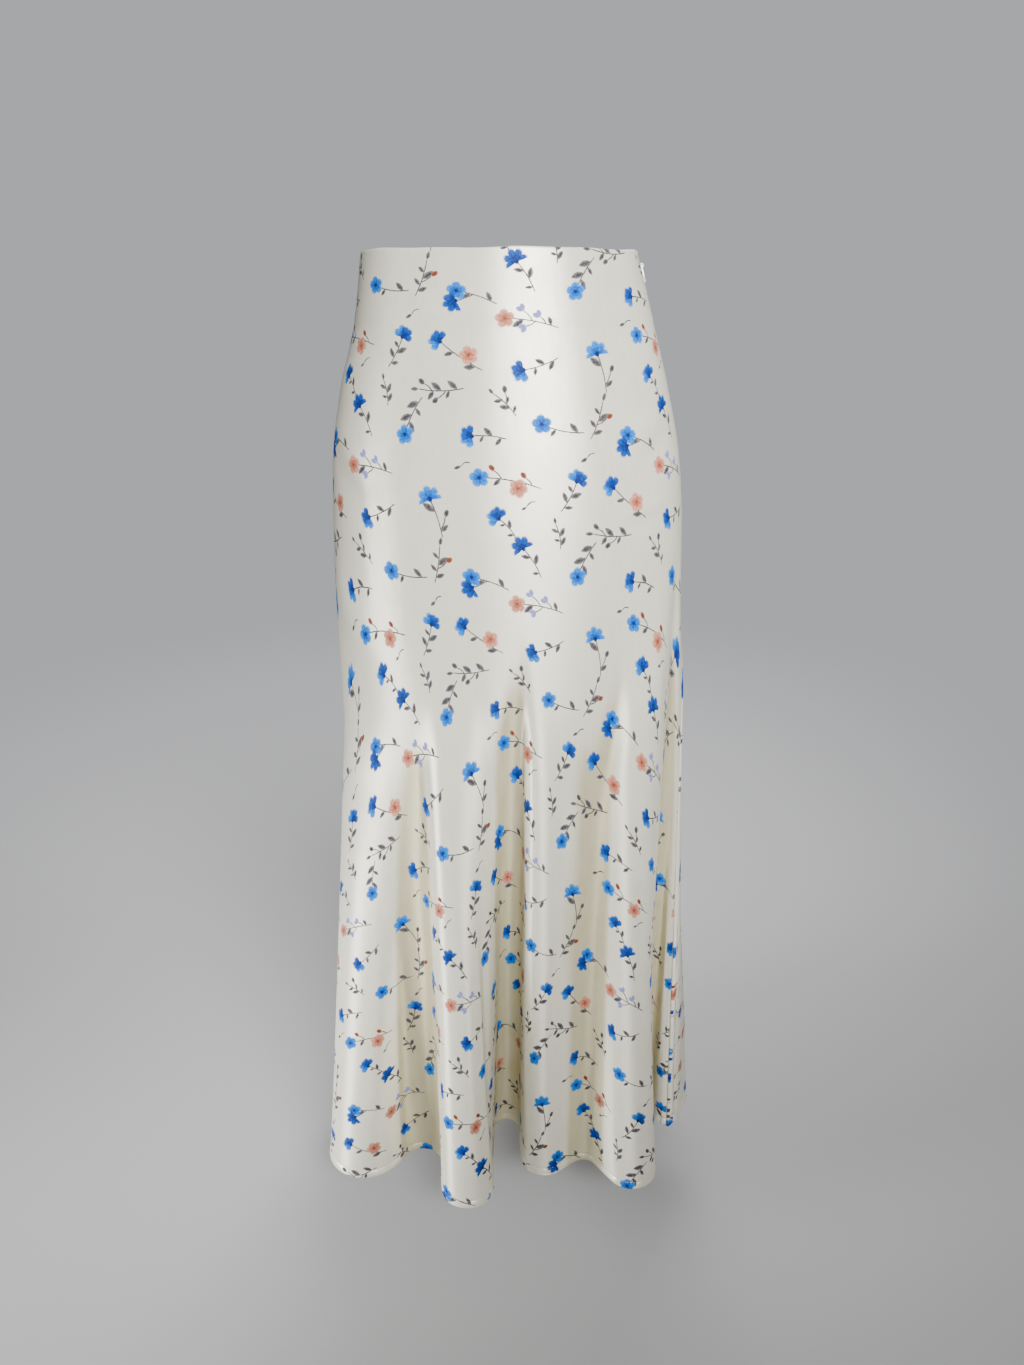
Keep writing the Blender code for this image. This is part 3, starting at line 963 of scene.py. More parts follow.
    def rosette_values(self, rosette: Rosette) -> dict[str, float]:
        """The numbers of a flower.

        Args:
            rosette: The flower.

        Returns:
            The rosette group's inputs, by name.
        """
        way = math.radians(rosette.turn)
        right, up = math.cos(way) / rosette.radius, math.sin(way) / rosette.radius
        return {
            "Along X": right,
            "Along Y": up,
            "Along Shift": -rosette.x * right - rosette.y * up,
            "Across X": -up / rosette.squash,
            "Across Y": right / rosette.squash,
            "Across Shift": (rosette.x * up - rosette.y * right) / rosette.squash,
            "Petals": rosette.petals,
            "Fan": math.radians(rosette.fan),
        }

    def make_print(self) -> Tree:
        """Makes the whole print: the inks' colour and how much ink lies on a place of the cloth.

        Returns:
            The group.
        """
        group = Group("floral print", {"Cloth": "Vector"}, {"Color": "Color", "Ink": "Float"})
        g = group.graph
        place = g.vector("MULTIPLY", group.inputs["Cloth"], 1 / MM)
        brush = g.noise(place, self.brush_scale)
        centred = g.vector("SUBTRACT", place, self.shake / 2)
        shaken = g.split(g.vector("MULTIPLY_ADD", brush.outputs["Color"], self.shake, centred))
        lanes = range(self.lanes)
        x, y = (g.add("CombineXYZ", dict.fromkeys(lanes, part)).outputs[0] for part in shaken[:2])
        nearest: dict[Ink, Socket | float] = {ink: self.far for ink in Ink}
        flowers: dict[Ink, Socket] = {}
        for sprig in SPRIGS:
            self.add_sprig(g, sprig, (x, y), nearest, flowers)
        colour: Socket | Colour = Ink.LEAF.value[0]
        mask: Socket | float = 0.0
        tone = g.ramp(brush.outputs["Fac"], 0.35, 0.65)
        for ink in Ink:
            inside = g.least(nearest[ink])
            if ink in flowers:
                inside = g.math("MINIMUM", inside, flowers[ink])
            pale, strong = ink.value
            depth = g.ramp(g.math("MULTIPLY_ADD", tone, 0.5, inside), *self.wash)
            cover = g.ramp(inside, *self.edge)
            colour = g.mix(cover, colour, g.mix(depth, strong, pale))
            mask = g.math("MAXIMUM", mask, cover)
        return group.finish(Color=colour, Ink=mask)

    def add_sprig(
        self,
        g: Graph,
        sprig: Sprig,
        place: tuple[Socket, Socket],
        nearest: dict[Ink, Socket | float],
        flowers: dict[Ink, Socket],
    ) -> None:
        """Adds one sprig to the print.

        Args:
            g: The print's graph.
            sprig: The sprig.
            place: The place on the cloth, as x and y spread over the lanes.
            nearest: How near the place is to each ink's strokes so far, one number a lane.
            flowers: How near the place is to each ink's flowers so far.
        """
        inputs = {"X": place[0], "Y": place[1], "Middle X": sprig.x, "Middle Y": sprig.y}
        local = g.use(self.place_group, inputs)
        local.label = sprig.name
        here = {"X": local.outputs["X"], "Y": local.outputs["Y"]}
        strokes, rosettes = sprig.drawn()
        for kind, group in self.stroke_groups.items():
            for ink in Ink:
                same = [stroke for stroke in strokes if type(stroke) is kind and stroke.ink is ink]
                for first in range(0, len(same), self.lanes):
                    values = self.lane_values(same[first : first + self.lanes])
                    node = g.use(group, {**here, "Nearest": nearest[ink], **values})
                    nearest[ink] = node.outputs["Nearest"]
        for rosette in rosettes:
            node = g.use(self.rosette_group, {**here, **self.rosette_values(rosette)})
            for ink, output in ((rosette.ink, "Petals"), (rosette.heart, "Heart")):
                found = node.outputs[output]
                flowers[ink] = g.math("MINIMUM", flowers[ink], found) if ink in flowers else found


# ---- finishes
class Side(Enum):
    """The two faces of the satin: name, roughness and how much of the print shows."""

    RIGHT = ("satin right side", 0.37, 1.0)
    WRONG = ("satin wrong side", 0.62, 0.38)


class SatinCloth:
    """Ivory satin with the floral print and with painted shade, darker and warmer, in its valleys. Its bump
    and print follow the flat cloth; the painted shade follows the fold attribute.
    """

    ground = (0.850, 0.812, 0.680)
    # painted shade: a darker, warmer ground for the valleys of the folds, which the slubs' random tone also
    # reaches a little
    valley_shade_and_slub_colour = (0.520, 0.470, 0.285)
    valley_shade_depths = (0.08, -0.58)  # where the painted valley shade starts and is full, as Workshop.fold_depth gives them
    valley_shade_strength = 0.80
    slub_warmth = 0.20
    floats = (1500.0, 0.020)  # how fine each part of the weave is, and how high
    slubs = (260.0, 0.050)
    swells = (34.0, 0.30)
    float_stretch = 0.16  # how much coarser the weave is along the cloth than across it
    weave_strength = 0.35
    ink_cover = 0.99
    sheen_metal = 0.28  # the bare satin's metallic look, which the ink takes away
    ink_dulling = 0.46
    streaking = 0.9

    def __init__(self) -> None:
        """Makes the print and the weave, and both faces of the cloth."""
        self.floral = FloralPrint().group
        self.weave = self.make_weave()
        self.right = self.make_face(Side.RIGHT)
        self.wrong = self.make_face(Side.WRONG)

    def make_weave(self) -> Tree:
        """Makes the satin's surface: fine floats along the cloth, small slubs and soft unevenness.

        Returns:
            The group.
        """
        group = Group("satin weave", {"Cloth": "Vector"}, {"Height": "Float", "Tone": "Float"})
        g, cloth = group.graph, group.inputs["Cloth"]
        threads = g.vector("MULTIPLY", cloth, (1.0, self.float_stretch, 1.0))
        floats = g.noise(threads, self.floats[0], 1.0).outputs["Fac"]
        slubs = g.noise(threads, self.slubs[0]).outputs["Fac"]
        swells = g.noise(cloth, self.swells[0]).outputs["Fac"]
        fine = g.math("MULTIPLY_ADD", floats, self.floats[1], g.math("MULTIPLY", slubs, self.slubs[1]))
        height = g.math("MULTIPLY_ADD", swells, self.swells[1], fine)
        tone = g.math("MULTIPLY_ADD", slubs, 0.5, g.math("MULTIPLY", swells, 0.5))
        return group.finish(Height=height, Tone=tone)

    def make_face(self, side: Side) -> Finish:
        """One face of the cloth.

        Args:
            side: Which face.

        Returns:
            Its finish.
        """
        name, roughness, strength = side.value
        material, g, shader = new_material(name)
        cloth = g.cloth_layout()
        weave = g.use(self.weave, {"Cloth": cloth}).outputs
        flower = g.use(self.floral, {"Cloth": cloth}).outputs
        # painted shade: the ground turns darker and warmer in the valleys by the fold attribute, plus the
        # slubs' random tone
        fold = g.add("Attribute", attribute_name="fold").outputs["Fac"]
        slubs = g.ramp(weave["Tone"], 0.3, 0.8, (0.0, self.slub_warmth))
        valley_shade_and_slub_share = g.math("MULTIPLY_ADD", g.ramp(fold, *self.valley_shade_depths), self.valley_shade_strength, slubs)
        ground = g.mix(valley_shade_and_slub_share, self.ground, self.valley_shade_and_slub_colour)
        cover = g.math("MULTIPLY", flower["Ink"], self.ink_cover * strength)
        g.fill(shader, {
            "Base Color": g.mix(cover, ground, flower["Color"]),
            "Roughness": g.ramp(weave["Tone"], 0.25, 0.75, (roughness - 0.03, roughness + 0.04)),
            "Normal": g.bump(weave["Height"], self.weave_strength, MM),
            "Metallic": g.math("MULTIPLY_ADD", cover, -self.sheen_metal, self.sheen_metal),
            "Specular IOR Level": g.math("MULTIPLY_ADD", cover, -self.ink_dulling, 0.5),
            "Tangent": g.add("Tangent", direction_type="UV_MAP", uv_map="cloth").outputs[0],
            "Anisotropic": self.streaking,
            "Anisotropic Rotation": 0.25,
        })
        return material


@dataclass(frozen=True)
class TapeCloth:
    """The zip's woven polyester tape."""

    colour: Colour = (0.80, 0.76, 0.67)
    shade: Colour = (0.70, 0.66, 0.57)
    rib: float = 0.9 * MM
    slant: float = 35.0

    def material(self) -> Finish:
        """Ribs the tape on its own layout.

        Returns:
            The finish.
        """
        material, g, shader = new_material("zip tape")
        cloth = g.cloth_layout()
        rotation = (0.0, 0.0, math.radians(self.slant))
        turned = g.add("Mapping", {"Vector": cloth, "Rotation": rotation}).outputs["Vector"]
        bands = {"Vector": turned, "Scale": 0.5 / self.rib, "Distortion": 0.6, "Detail": 1.0}
        ribs = g.add("TexWave", bands).outputs["Fac"]
        fuzz = g.noise(cloth, 2200.0).outputs["Fac"]
        g.fill(shader, {
            "Base Color": g.mix(ribs, self.shade, self.colour),
            "Roughness": g.ramp(fuzz, 0.3, 0.7, (0.68, 0.82)),
            "Normal": g.bump(g.math("MULTIPLY_ADD", fuzz, 0.3, ribs), 0.5, 0.15 * MM),
        })
        return material


@dataclass(frozen=True)
class Filament:
    """Smooth nylon or sewing thread in ivory."""

    name: str
    colour: Colour
    shade: Colour
    roughness: float
    twist: float

    def material(self) -> Finish:
        """Fine twisted bands across the filament."""
        material, g, shader = new_material(self.name)
        place = g.add("TexCoord").outputs["Object"]
        inputs = {"Vector": place, "Scale": self.twist, "Distortion": 2.0}
        bands = g.add("TexWave", inputs, bands_direction="DIAGONAL").outputs["Fac"]
        spots = g.noise(place, 900.0).outputs["Fac"]
        share = g.math("MULTIPLY", bands, g.ramp(spots, 0.3, 0.7, (0.4, 1.0)))
        g.fill(shader, {
            "Base Color": g.mix(share, self.colour, self.shade),
            "Roughness": g.ramp(spots, 0.3, 0.7, (self.roughness, self.roughness + 0.1)),
            "Normal": g.bump(bands, 0.3, 0.05 * MM),
        })
        return material


@dataclass(frozen=True)
class LacqueredMetal:
    """The slider's and the pull's ivory lacquer over metal, worn through on small scratches."""

    lacquer: Colour = (0.78, 0.73, 0.62)
    metal: Colour = (0.72, 0.70, 0.66)

    def material(self) -> Finish:
        """Mixes the lacquer, with scratches and small pits.

        Returns:
            The finish.
        """
        material, g, shader = new_material("lacquered metal")
        place = g.add("TexCoord").outputs["Object"]
        streaks = g.vector("MULTIPLY", place, (1.0, 1.0, 0.12))
        scratches = g.ramp(g.noise(streaks, 1800.0, 4.0).outputs["Fac"], 0.62, 0.70)
        pits = g.noise(place, 2600.0).outputs["Fac"]
        worn = g.math("MULTIPLY", scratches, g.ramp(pits, 0.4, 0.6))
        g.fill(shader, {
            "Base Color": g.mix(worn, self.lacquer, self.metal),
            "Metallic": g.math("MULTIPLY_ADD", worn, 0.75, 0.2),
            "Roughness": g.ramp(pits, 0.3, 0.7, (0.24, 0.36)),
            "Normal": g.bump(pits, 0.15, 0.05 * MM),
            "Coat Weight": 0.4,
            "Coat Roughness": 0.12,
        })
        return material


# ---- creases
class Relief(Enum):
    """The kinds of crease."""

    TROUGH = -1.0
    RIDGE = 1.0
    PULL = 0.0


@dataclass(frozen=True)
class Crease:
    """A soft crease on the cloth through three points, each an angle round the body and a depth.

    width and height are in millimetres. A PULL stands proud on its upper side and sinks on its lower
    side, as a drag line does.
    """

    start: Pair
    middle: Pair
    end: Pair
    width: float
    height: float
    relief: Relief = Relief.TROUGH


@dataclass(frozen=True)
class Grain:
    """How the worn cloth's print lies at one depth.

    width is how wide the worn cloth is beside the flat cloth. drift is how far its middle has moved
    towards the wearer's left, drop is how much higher the flat cloth's rows lie, and bend is one over the
    radius in which the rows curve down towards the seams.
    """

    depth: float
    width: float
    drift: float
    drop: float
    bend: float


FRONT_GRAIN = (
    Grain(depth=0.00, width=1.00, drift=0.000, drop=0.000, bend=0.4),
    Grain(depth=0.10, width=1.00, drift=0.001, drop=0.013, bend=0.6),
    Grain(depth=0.22, width=0.99, drift=0.005, drop=0.016, bend=0.9),
    Grain(depth=0.32, width=0.88, drift=0.014, drop=0.016, bend=1.8),
    Grain(depth=0.42, width=0.80, drift=0.022, drop=0.014, bend=2.8),
    Grain(depth=0.52, width=0.80, drift=0.032, drop=0.004, bend=2.8),
    Grain(depth=0.68, width=0.82, drift=0.045, drop=0.000, bend=1.9),
    Grain(depth=0.925, width=0.96, drift=0.045, drop=0.000, bend=0.9),
)

BACK_GRAIN = (
    Grain(depth=0.00, width=1.00, drift=0.000, drop=0.000, bend=0.4),
    Grain(depth=0.12, width=1.01, drift=-0.003, drop=0.012, bend=0.6),
    Grain(depth=0.25, width=1.00, drift=-0.006, drop=0.015, bend=0.9),
    Grain(depth=0.40, width=0.90, drift=-0.014, drop=0.013, bend=2.2),
    Grain(depth=0.60, width=0.90, drift=-0.022, drop=0.002, bend=2.4),
    Grain(depth=0.925, width=0.98, drift=-0.025, drop=0.000, bend=0.9),
)


@dataclass(frozen=True)
class Wave:
    """A regular rise and fall along a row of cloth: its height, its radians a metre and its shift."""

    height: float
    rate: float
    shift: float = 0.0

    def at(self, arc: Array) -> Array:
        """The rise this far along the row."""
        return self.height * np.sin(arc * self.rate + self.shift)


class ClothGrid(Net):
    """A net of cloth, with its place on the flat cloth."""

    crease_knots = 18
    crease_taper = 0.7  # how bluntly a crease ends

    def __init__(self, net: Net, centre: float, origin: Pair, grain: tuple[Grain, ...]) -> None:
        """Lays the net out.

        Args:
            net: The cloth's net.
            centre: The angle where the cloth's grain hangs straight.
            origin: Where the centre of the waist edge lies in the print, in metres.
            grain: How the print lies, from the waist down.
        """
        angles = np.broadcast_to(net.angles, (len(net.depths), net.angles.shape[-1]))
        super().__init__(angles, net.places, net.depths)
        steps = np.linalg.norm(np.diff(DRAPE.outline(self), axis=1), axis=-1)
        arc = np.concatenate((np.zeros((len(steps), 1)), np.cumsum(steps, axis=1)), 1)
        middle = np.array([np.interp(centre, row_angles, row) for row_angles, row in zip(angles, arc)])
        self.arc = arc - middle[:, None]
        self.cloth = self.lay_flat(grain) + np.array(origin)

    def lay_flat(self, grain: tuple[Grain, ...]) -> Array:
        """The grid unrolled: straight grain at the hips, and as a cone below, where the cloth flares.

        Args:
            grain: How the print lies, from the waist down.

        Returns:
            x and y on the flat cloth of each row and column.
        """
        levels = [level.depth for level in grain]
        width, drift, drop, bend = (
            smooth_curve(levels, [getattr(level, name) for level in grain], self.rows)
            for name in ("width", "drift", "drop", "bend")
        )
        aside = (self.arc - drift) / width
        half_turn = aside * bend / 2
        across = aside * np.sinc(2 * half_turn / math.pi)
        up = -self.rows - drop + aside * half_turn * np.sinc(half_turn / math.pi) ** 2
        return np.stack((across, up), -1)

    def find(self, angle: float, depth: float) -> Array:
        """Where an angle and a depth lie on the flat cloth."""
        row = int(np.argmin(np.abs(self.depths - depth)))
        return np.array([np.interp(angle, self.angles[row], self.cloth[row, :, k]) for k in range(2)])

    def crease_height(self, crease: Crease) -> Array:
        """How far a crease moves the cloth outwards at each row and column.

        Args:
            crease: The crease.

        Returns:
            The heights.
        """
        start, middle, end = (self.find(*point) for point in (crease.start, crease.middle, crease.end))
        share = np.linspace(0.0, 1.0, self.crease_knots)[:, None]
        knots = start * (1 - share) ** 2 + middle * 2 * share * (1 - share) + end * share**2
        best = np.full(self.arc.shape, np.inf)
        result = np.zeros(self.arc.shape)
        total = len(knots) - 1
        for i, (a, b) in enumerate(zip(knots[:-1], knots[1:])):
            run = b - a
            length = np.linalg.norm(run)
            offset = self.cloth - a
            t = np.clip(offset @ run / length**2, 0.0, 1.0)
            distance = np.linalg.norm(offset - t[..., None] * run, axis=-1)
            side = np.sign(offset[..., 0] * run[1] - offset[..., 1] * run[0])
            taper = np.sin(np.pi * np.clip((i + t) / total, 0.0, 1.0)) ** self.crease_taper
            reach = distance / (crease.width * MM)
            if crease.relief is Relief.PULL:
                profile = -side * reach * np.exp(0.5 - reach**2 / 2)
            else:
                profile = crease.relief.value * np.exp(-(reach**2))
            nearer = distance < best
            best = np.where(nearer, distance, best)
            result = np.where(nearer, crease.height * MM * taper * profile, result)
        return result


# ---- making meshes
def put_in_scene(name: str, data: bpy.types.ID) -> Piece:
    """Makes a new object of the scene.

    Args:
        name: Its name.
        data: Its mesh, light or camera.

    Returns:
        The object.
    """
    thing = bpy.data.objects.new(name, data)
    bpy.context.scene.collection.objects.link(thing)
    return thing


class Workshop:
    """Makes meshes into finished objects of the skirt."""

    fold_reach = 0.035  # how far along its row the cloth round a point goes
    full_fold = 0.2  # depth of a full valley, for the reach

    @staticmethod
    def mesh(name: str, points: Array, faces: list, *finishes: Finish) -> bpy.types.Mesh:
        """A smoothly shaded mesh with its finishes.

        Args:
            name: The mesh's name.
            points: x, y and z of each point.
            faces: Each face's points, by number.
            finishes: The finishes, in the order of their slots.

        Returns:
            The mesh.
        """
        mesh = bpy.data.meshes.new(name)
        mesh.from_pydata(points.tolist(), [], faces)
        for finish in finishes:
            mesh.materials.append(finish)
        mesh.shade_smooth()
        return mesh

    @staticmethod
    def cloth(
        name: str, points: Array, flat: Array, thickness: float, outer: Finish, inner: Finish
    ) -> Piece:
        """Makes a thin closed sheet of cloth.

        Args:
            name: Its name.
            points: x, y and z of each row and column of its outer side.
            flat: The same grid on the flat cloth.
            thickness: The cloth's thickness, inwards.
            outer: Finish of the outer side.
            inner: Finish of the inner side.

        Returns:
            The piece, with its place in its mesh.
        """
        rows, columns = points.shape[:2]
        index = np.arange(rows * columns).reshape(rows, columns)
        corners = (index[:-1, :-1], index[1:, :-1], index[1:, 1:], index[:-1, 1:])
        quads = np.stack(corners, -1).reshape(-1, 4)
        mesh = Workshop.mesh(name, points.reshape(-1, 3), quads.tolist(), outer, inner)
        layer = mesh.uv_layers.new(name="cloth")
        layer.data.foreach_set("uv", flat.reshape(-1, 2)[quads.ravel()].ravel().astype(np.float32))
        # the fold attribute only drives the satin's painted valley shade
        fold = mesh.attributes.new("fold", "FLOAT", "POINT")
        fold.data.foreach_set("value", Workshop.fold_depth(points).ravel().astype(np.float32))
        piece = put_in_scene(name, mesh)
        shell = piece.modifiers.new("thickness", "SOLIDIFY")
        shell.thickness = thickness
        shell.offset = -1.0
        shell.material_offset = 1
        return piece

    @staticmethod
    def fold_depth(points: Array) -> Array:
        """How far each point stands outside the cloth round it, from -1 in a valley to 1 on a crest.

        Args:
            points: x, y and z of each row and column.

        Returns:
            The depth at each row and column.
        """
        reach = Workshop.fold_reach
        result = np.zeros(points.shape[:2])
        for k, row in enumerate(points[..., :2]):
            steps = np.linalg.norm(np.diff(row, axis=0), axis=1)
            arc = np.concatenate(([0.0], np.cumsum(steps)))
            run = np.gradient(row, axis=0)
            out = np.stack((run[:, 1], -run[:, 0]), -1)
            out /= np.linalg.norm(out, axis=1, keepdims=True) + 1e-9
            around = [
                np.stack([np.interp(arc + shift, arc, row[:, axis]) for axis in range(2)], -1)
                for shift in (-reach, -reach / 2, reach / 2, reach)
            ]
            result[k] = np.sum((row - np.mean(around, axis=0)) * out, axis=1) / (Workshop.full_fold * reach)
        return np.clip(result, -1.0, 1.0)

    @staticmethod
    def strip_layout(distances: Array, depths: Array) -> Array:
        """A narrow strip's own layout: across it by distance and down it by depth."""
        return np.stack(np.broadcast_arrays(distances[None, :], -depths[:, None]), -1)

    @staticmethod
    def begin() -> None:
        """Deselects everything before a new primitive is modelled."""
        bpy.ops.object.select_all(action="DESELECT")

    @staticmethod
    def repeat(name: str, pattern: Piece, frames: list[Matrix], finish: Finish) -> Piece:
        """Copies a small piece to many places and joins the copies.

        Args:
            name: The joined piece's name.
            pattern: The piece modelled once, at the origin. It is removed.
            frames: Where each copy goes.
            finish: The finish of all copies.

        Returns:
            The joined piece.
        """
        source = pattern.data
        points = np.array([vertex.co for vertex in source.vertices])
        faces = [tuple(polygon.vertices) for polygon in source.polygons]
        placed = [points @ np.array(m.to_3x3()).T + np.array(m.translation) for m in frames]
        copied = [tuple(v + k * len(points) for v in face) for k in range(len(frames)) for face in faces]
        piece = put_in_scene(name, Workshop.mesh(name, np.concatenate(placed), copied, finish))
        bpy.data.objects.remove(pattern, do_unlink=True)
        bpy.data.meshes.remove(source)
        return piece


# ---- the panels
@dataclass
class Panel:
    """One panel of the skirt: its outer side, its rolled edges and its creases."""

    name: str
    node: str
    first: int
    last: int
    centre: float
    origin: Pair
    creases: tuple[Crease, ...]
    grain: tuple[Grain, ...]
    flat: Pair = (0.93, 0.95)
    roll: float = 0.85 * MM  # radius of the waist's and the hem's turned edge
    row_step: float = 4.3 * MM
    rows_above_hem: tuple[float, ...] = (13, 11, 10, 9.3, 8.8, 8.4, 8.0, 7.6, 7.0, 6.0, 4.5, 3.0, 1.8)
    turn_step: float = 11.0  # degrees that a bend of the hem line turns between two columns
    column_step: float = 7.5 * MM
    angle_step: float = 2.6
    edge_strip: float = 3.4  # degrees beside a seam that only the edge's own columns take
    edge_slides: tuple[float, ...] = (0.15 * MM, 0.45 * MM, 0.95 * MM, 1.8 * MM, 3.2 * MM)
    edge_insets: tuple[float, ...] = (0.90 * MM, 0.40 * MM, 0.14 * MM, 0.03 * MM, 0.0)
    zip_depth: float = 0.185
    zip_gap: float = 0.95 * MM  # how far the edge is held back beside the slider
    closed_zip_gap: float = 0.03 * MM
    slider_depths: Pair = (19 * MM, 32 * MM)  # where the seam closes below the slider
    seam_calm: Pair = (8 * MM, 34 * MM)  # from a seam, where the creases start and are full
    facing_wander: tuple[Wave, ...] = (Wave(0.8 * MM, 31.0, 1.0), Wave(0.5 * MM, 83.0))
    facing_step: float = 0.35 * MM
    facing_step_span: Pair = (-1.5 * MM, 2.5 * MM)
    facing_edge: float = 0.30 * MM
    facing_edge_width: float = 2.2 * MM
    stitch_line: float = 8.2 * MM  # above the hem
    groove: float = 0.60 * MM
    groove_width: float = 0.8 * MM
    puff: float = 0.55 * MM
    puff_line: float = 4.0 * MM
    puff_width: float = 2.8 * MM
    pucker: float = 0.22 * MM
    pucker_rate: float = 420.0
    pucker_reach: float = 6 * MM
    calm_swell: float = 0.5 * MM
    hem_swell: float = 2.6 * MM
    swell_depths: Pair = (0.35, 0.85)
    waist_waver: float = 0.5 * MM
    waist_rates: Pair = (46.0, 101.0)
    waist_band: float = 0.03  # how far down the waist edge's waver goes
    hem_waver: Wave = Wave(1.4 * MM, 19.0, 0.7)
    hem_waver_top: float = 0.80
    grid: ClothGrid = field(init=False)

    def lay_out(self, net: Net, origin: Pair | None = None) -> ClothGrid:
        """Lays out the panel's cloth, or a piece cut on the same grain with an origin of its own."""
        return ClothGrid(net, self.centre, origin or self.origin, self.grain)

    def edge_profile(self) -> tuple[Array, Array]:
        """Lays out the rows, with the turned edges at the waist and the hem.

        Returns:
            Their depths and insets.
        """
        turns = np.radians(np.linspace(180, 0, 9))
        top = self.roll * (1 - np.sin(turns))
        top_inset = self.roll * (1 - np.cos(turns))
        rows = [top[-1], 2.2 * MM, 4 * MM]
        rows += list(np.arange(8 * MM, SKIRT_LENGTH - 16 * MM, self.row_step))
        rows += list(SKIRT_LENGTH - np.array(self.rows_above_hem) * MM)
        depths = np.concatenate((top[:-1], rows, SKIRT_LENGTH - top[::-1]))
        insets = np.concatenate((top_inset[:-1], np.zeros(len(rows)), top_inset[::-1]))
        return depths, insets

    def relief(self, grid: ClothGrid) -> Array:
        """How far the outer side stands out from the smooth form at each row and column."""
        return self.swell(grid) + self.facing_ridge(grid) + self.hem_relief(grid)

    def swell(self, grid: ClothGrid) -> Array:
        """The creases and the unevenness, which die away at the side seams.

        Args:
            grid: The cloth's net.

        Returns:
            The rise at each row and column.
        """
        total = self.unevenness(grid)
        for crease in self.creases:
            total += grid.crease_height(crease)
        from_seams = np.minimum(grid.arc - grid.arc[:, :1], grid.arc[:, -1:] - grid.arc)
        return total * soft_step(from_seams, *self.seam_calm)

    def facing_ridge(self, grid: ClothGrid) -> Array:
        """The facing's lower edge pressing through the cloth.

        Args:
            grid: The cloth's net.

        Returns:
            The rise at each row and column.
        """
        below = grid.rows - FACING_DEPTH - sum(wave.at(grid.arc) for wave in self.facing_wander)
        step = self.facing_step * (1 - soft_step(below, *self.facing_step_span))
        return step + self.facing_edge * np.exp(-((below / self.facing_edge_width) ** 2))

    def hem_relief(self, grid: ClothGrid) -> Array:
        """The turned hem's puffed band and the groove of its row of stitches, with small puckers.

        Args:
            grid: The cloth's net.

        Returns:
            The rise at each row and column.
        """
        above = SKIRT_LENGTH - grid.rows
        groove = -self.groove * np.exp(-(((above - self.stitch_line) / self.groove_width) ** 2))
        puff = self.puff * np.exp(-(((above - self.puff_line) / self.puff_width) ** 2))
        puckers = self.pucker * np.sin(grid.arc * self.pucker_rate + 2.0 * np.sin(grid.arc * 57.0))
        reach = np.exp(-(((above - self.stitch_line - 2 * MM) / self.pucker_reach) ** 2))
        return groove + puff + puckers * reach

    def unevenness(self, grid: ClothGrid) -> Array:
        """Soft swells along the flutes, stronger towards the hem, so that no flute is quite regular.

        Args:
            grid: The cloth's net.

        Returns:
            The rise at each row and column.
        """
        swells = np.array([
            [noise.noise(Vector((x * 9.0, y * 2.6, self.centre))) for x, y in row] for row in grid.cloth
        ])
        return swells * (self.calm_swell + self.hem_swell * soft_step(grid.rows, *self.swell_depths))

    def edge_waver(self, grid: ClothGrid) -> Array:
        """The slight rise and fall of the waist edge and the hem.

        Args:
            grid: The cloth's net.

        Returns:
            The rise at each row and column.
        """
        slow, quick = self.waist_rates
        waves = np.sin(grid.arc * slow + self.centre) + 0.6 * np.sin(grid.arc * quick)
        waist = self.waist_waver * waves * (1 - soft_step(grid.rows, 0.0, self.waist_band))
        return waist + self.hem_waver.at(grid.arc) * soft_step(grid.rows, self.hem_waver_top, SKIRT_LENGTH)

    def seam_gap(self, grid: ClothGrid) -> Array:
        """How much further the edge at the zip is held back at each row and column.

        Args:
            grid: The cloth's net.

        Returns:
            The lengths.
        """
        closing = soft_step(grid.rows, *self.slider_depths)
        gap = self.zip_gap - (self.zip_gap - self.closed_zip_gap) * closing
        return gap * (grid.rows < self.zip_depth) * (grid.places == SEAM_PLACE)

    def columns(self) -> tuple[Array, Array, Array]:
        """Lays out the columns.

        Returns:
            Their places along the hem, and each column's slide and inset at the two seams.
        """
        turn_step = math.radians(self.turn_step)
        places = DRAPE.columns(self.first, self.last, turn_step, self.column_step, self.angle_step)
        angles = DRAPE.angle(places)
        inner = places[(angles > angles[0] + self.edge_strip) & (angles < angles[-1] - self.edge_strip)]
        slides, insets = np.array(self.edge_slides), np.array(self.edge_insets)
        count = len(slides)
        places = np.concatenate((np.full(count, places[0]), inner, np.full(count, places[-1])))
        slide = np.concatenate((slides, np.zeros(len(inner)), -slides[::-1]))
        inset = np.concatenate((insets, np.zeros(len(inner)), insets[::-1]))
        return places, slide, inset

    def follow(self, grid: ClothGrid, inset: Array | float, slide: Array | float = 0.0) -> Array:
        """Points of something sewn to the cloth, which goes in and out with its creases.

        Args:
            grid: Its columns and rows.
            inset: How far inside the cloth's outer side it lies.
            slide: How far each point is moved along its row.

        Returns:
            x, y and z of each row and column.
        """
        points = DRAPE.points(grid, inset - self.swell(grid), slide)
        points[..., 2] += self.edge_waver(grid)
        return points

    def build(self, cloth: SatinCloth) -> Piece:
        """Builds the panel's cloth.

        Args:
            cloth: The satin.

        Returns:
            The panel.
        """
        depths, turned = self.edge_profile()
        places, slide, column_insets = self.columns()
        grid = self.grid = self.lay_out(DRAPE.net(places, depths))
        inset = turned[:, None] + column_insets - self.relief(grid) * (turned[:, None] == 0.0)
        slides = slide + self.seam_gap(grid) * np.sign(slide)
        points = DRAPE.points(grid, inset, slides)
        points[..., 2] += self.edge_waver(grid)
        piece = Workshop.cloth(self.name, points, grid.cloth, SATIN_THICKNESS, cloth.right, cloth.wrong)
        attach(piece, "skirt")
        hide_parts(self.node)
        return piece


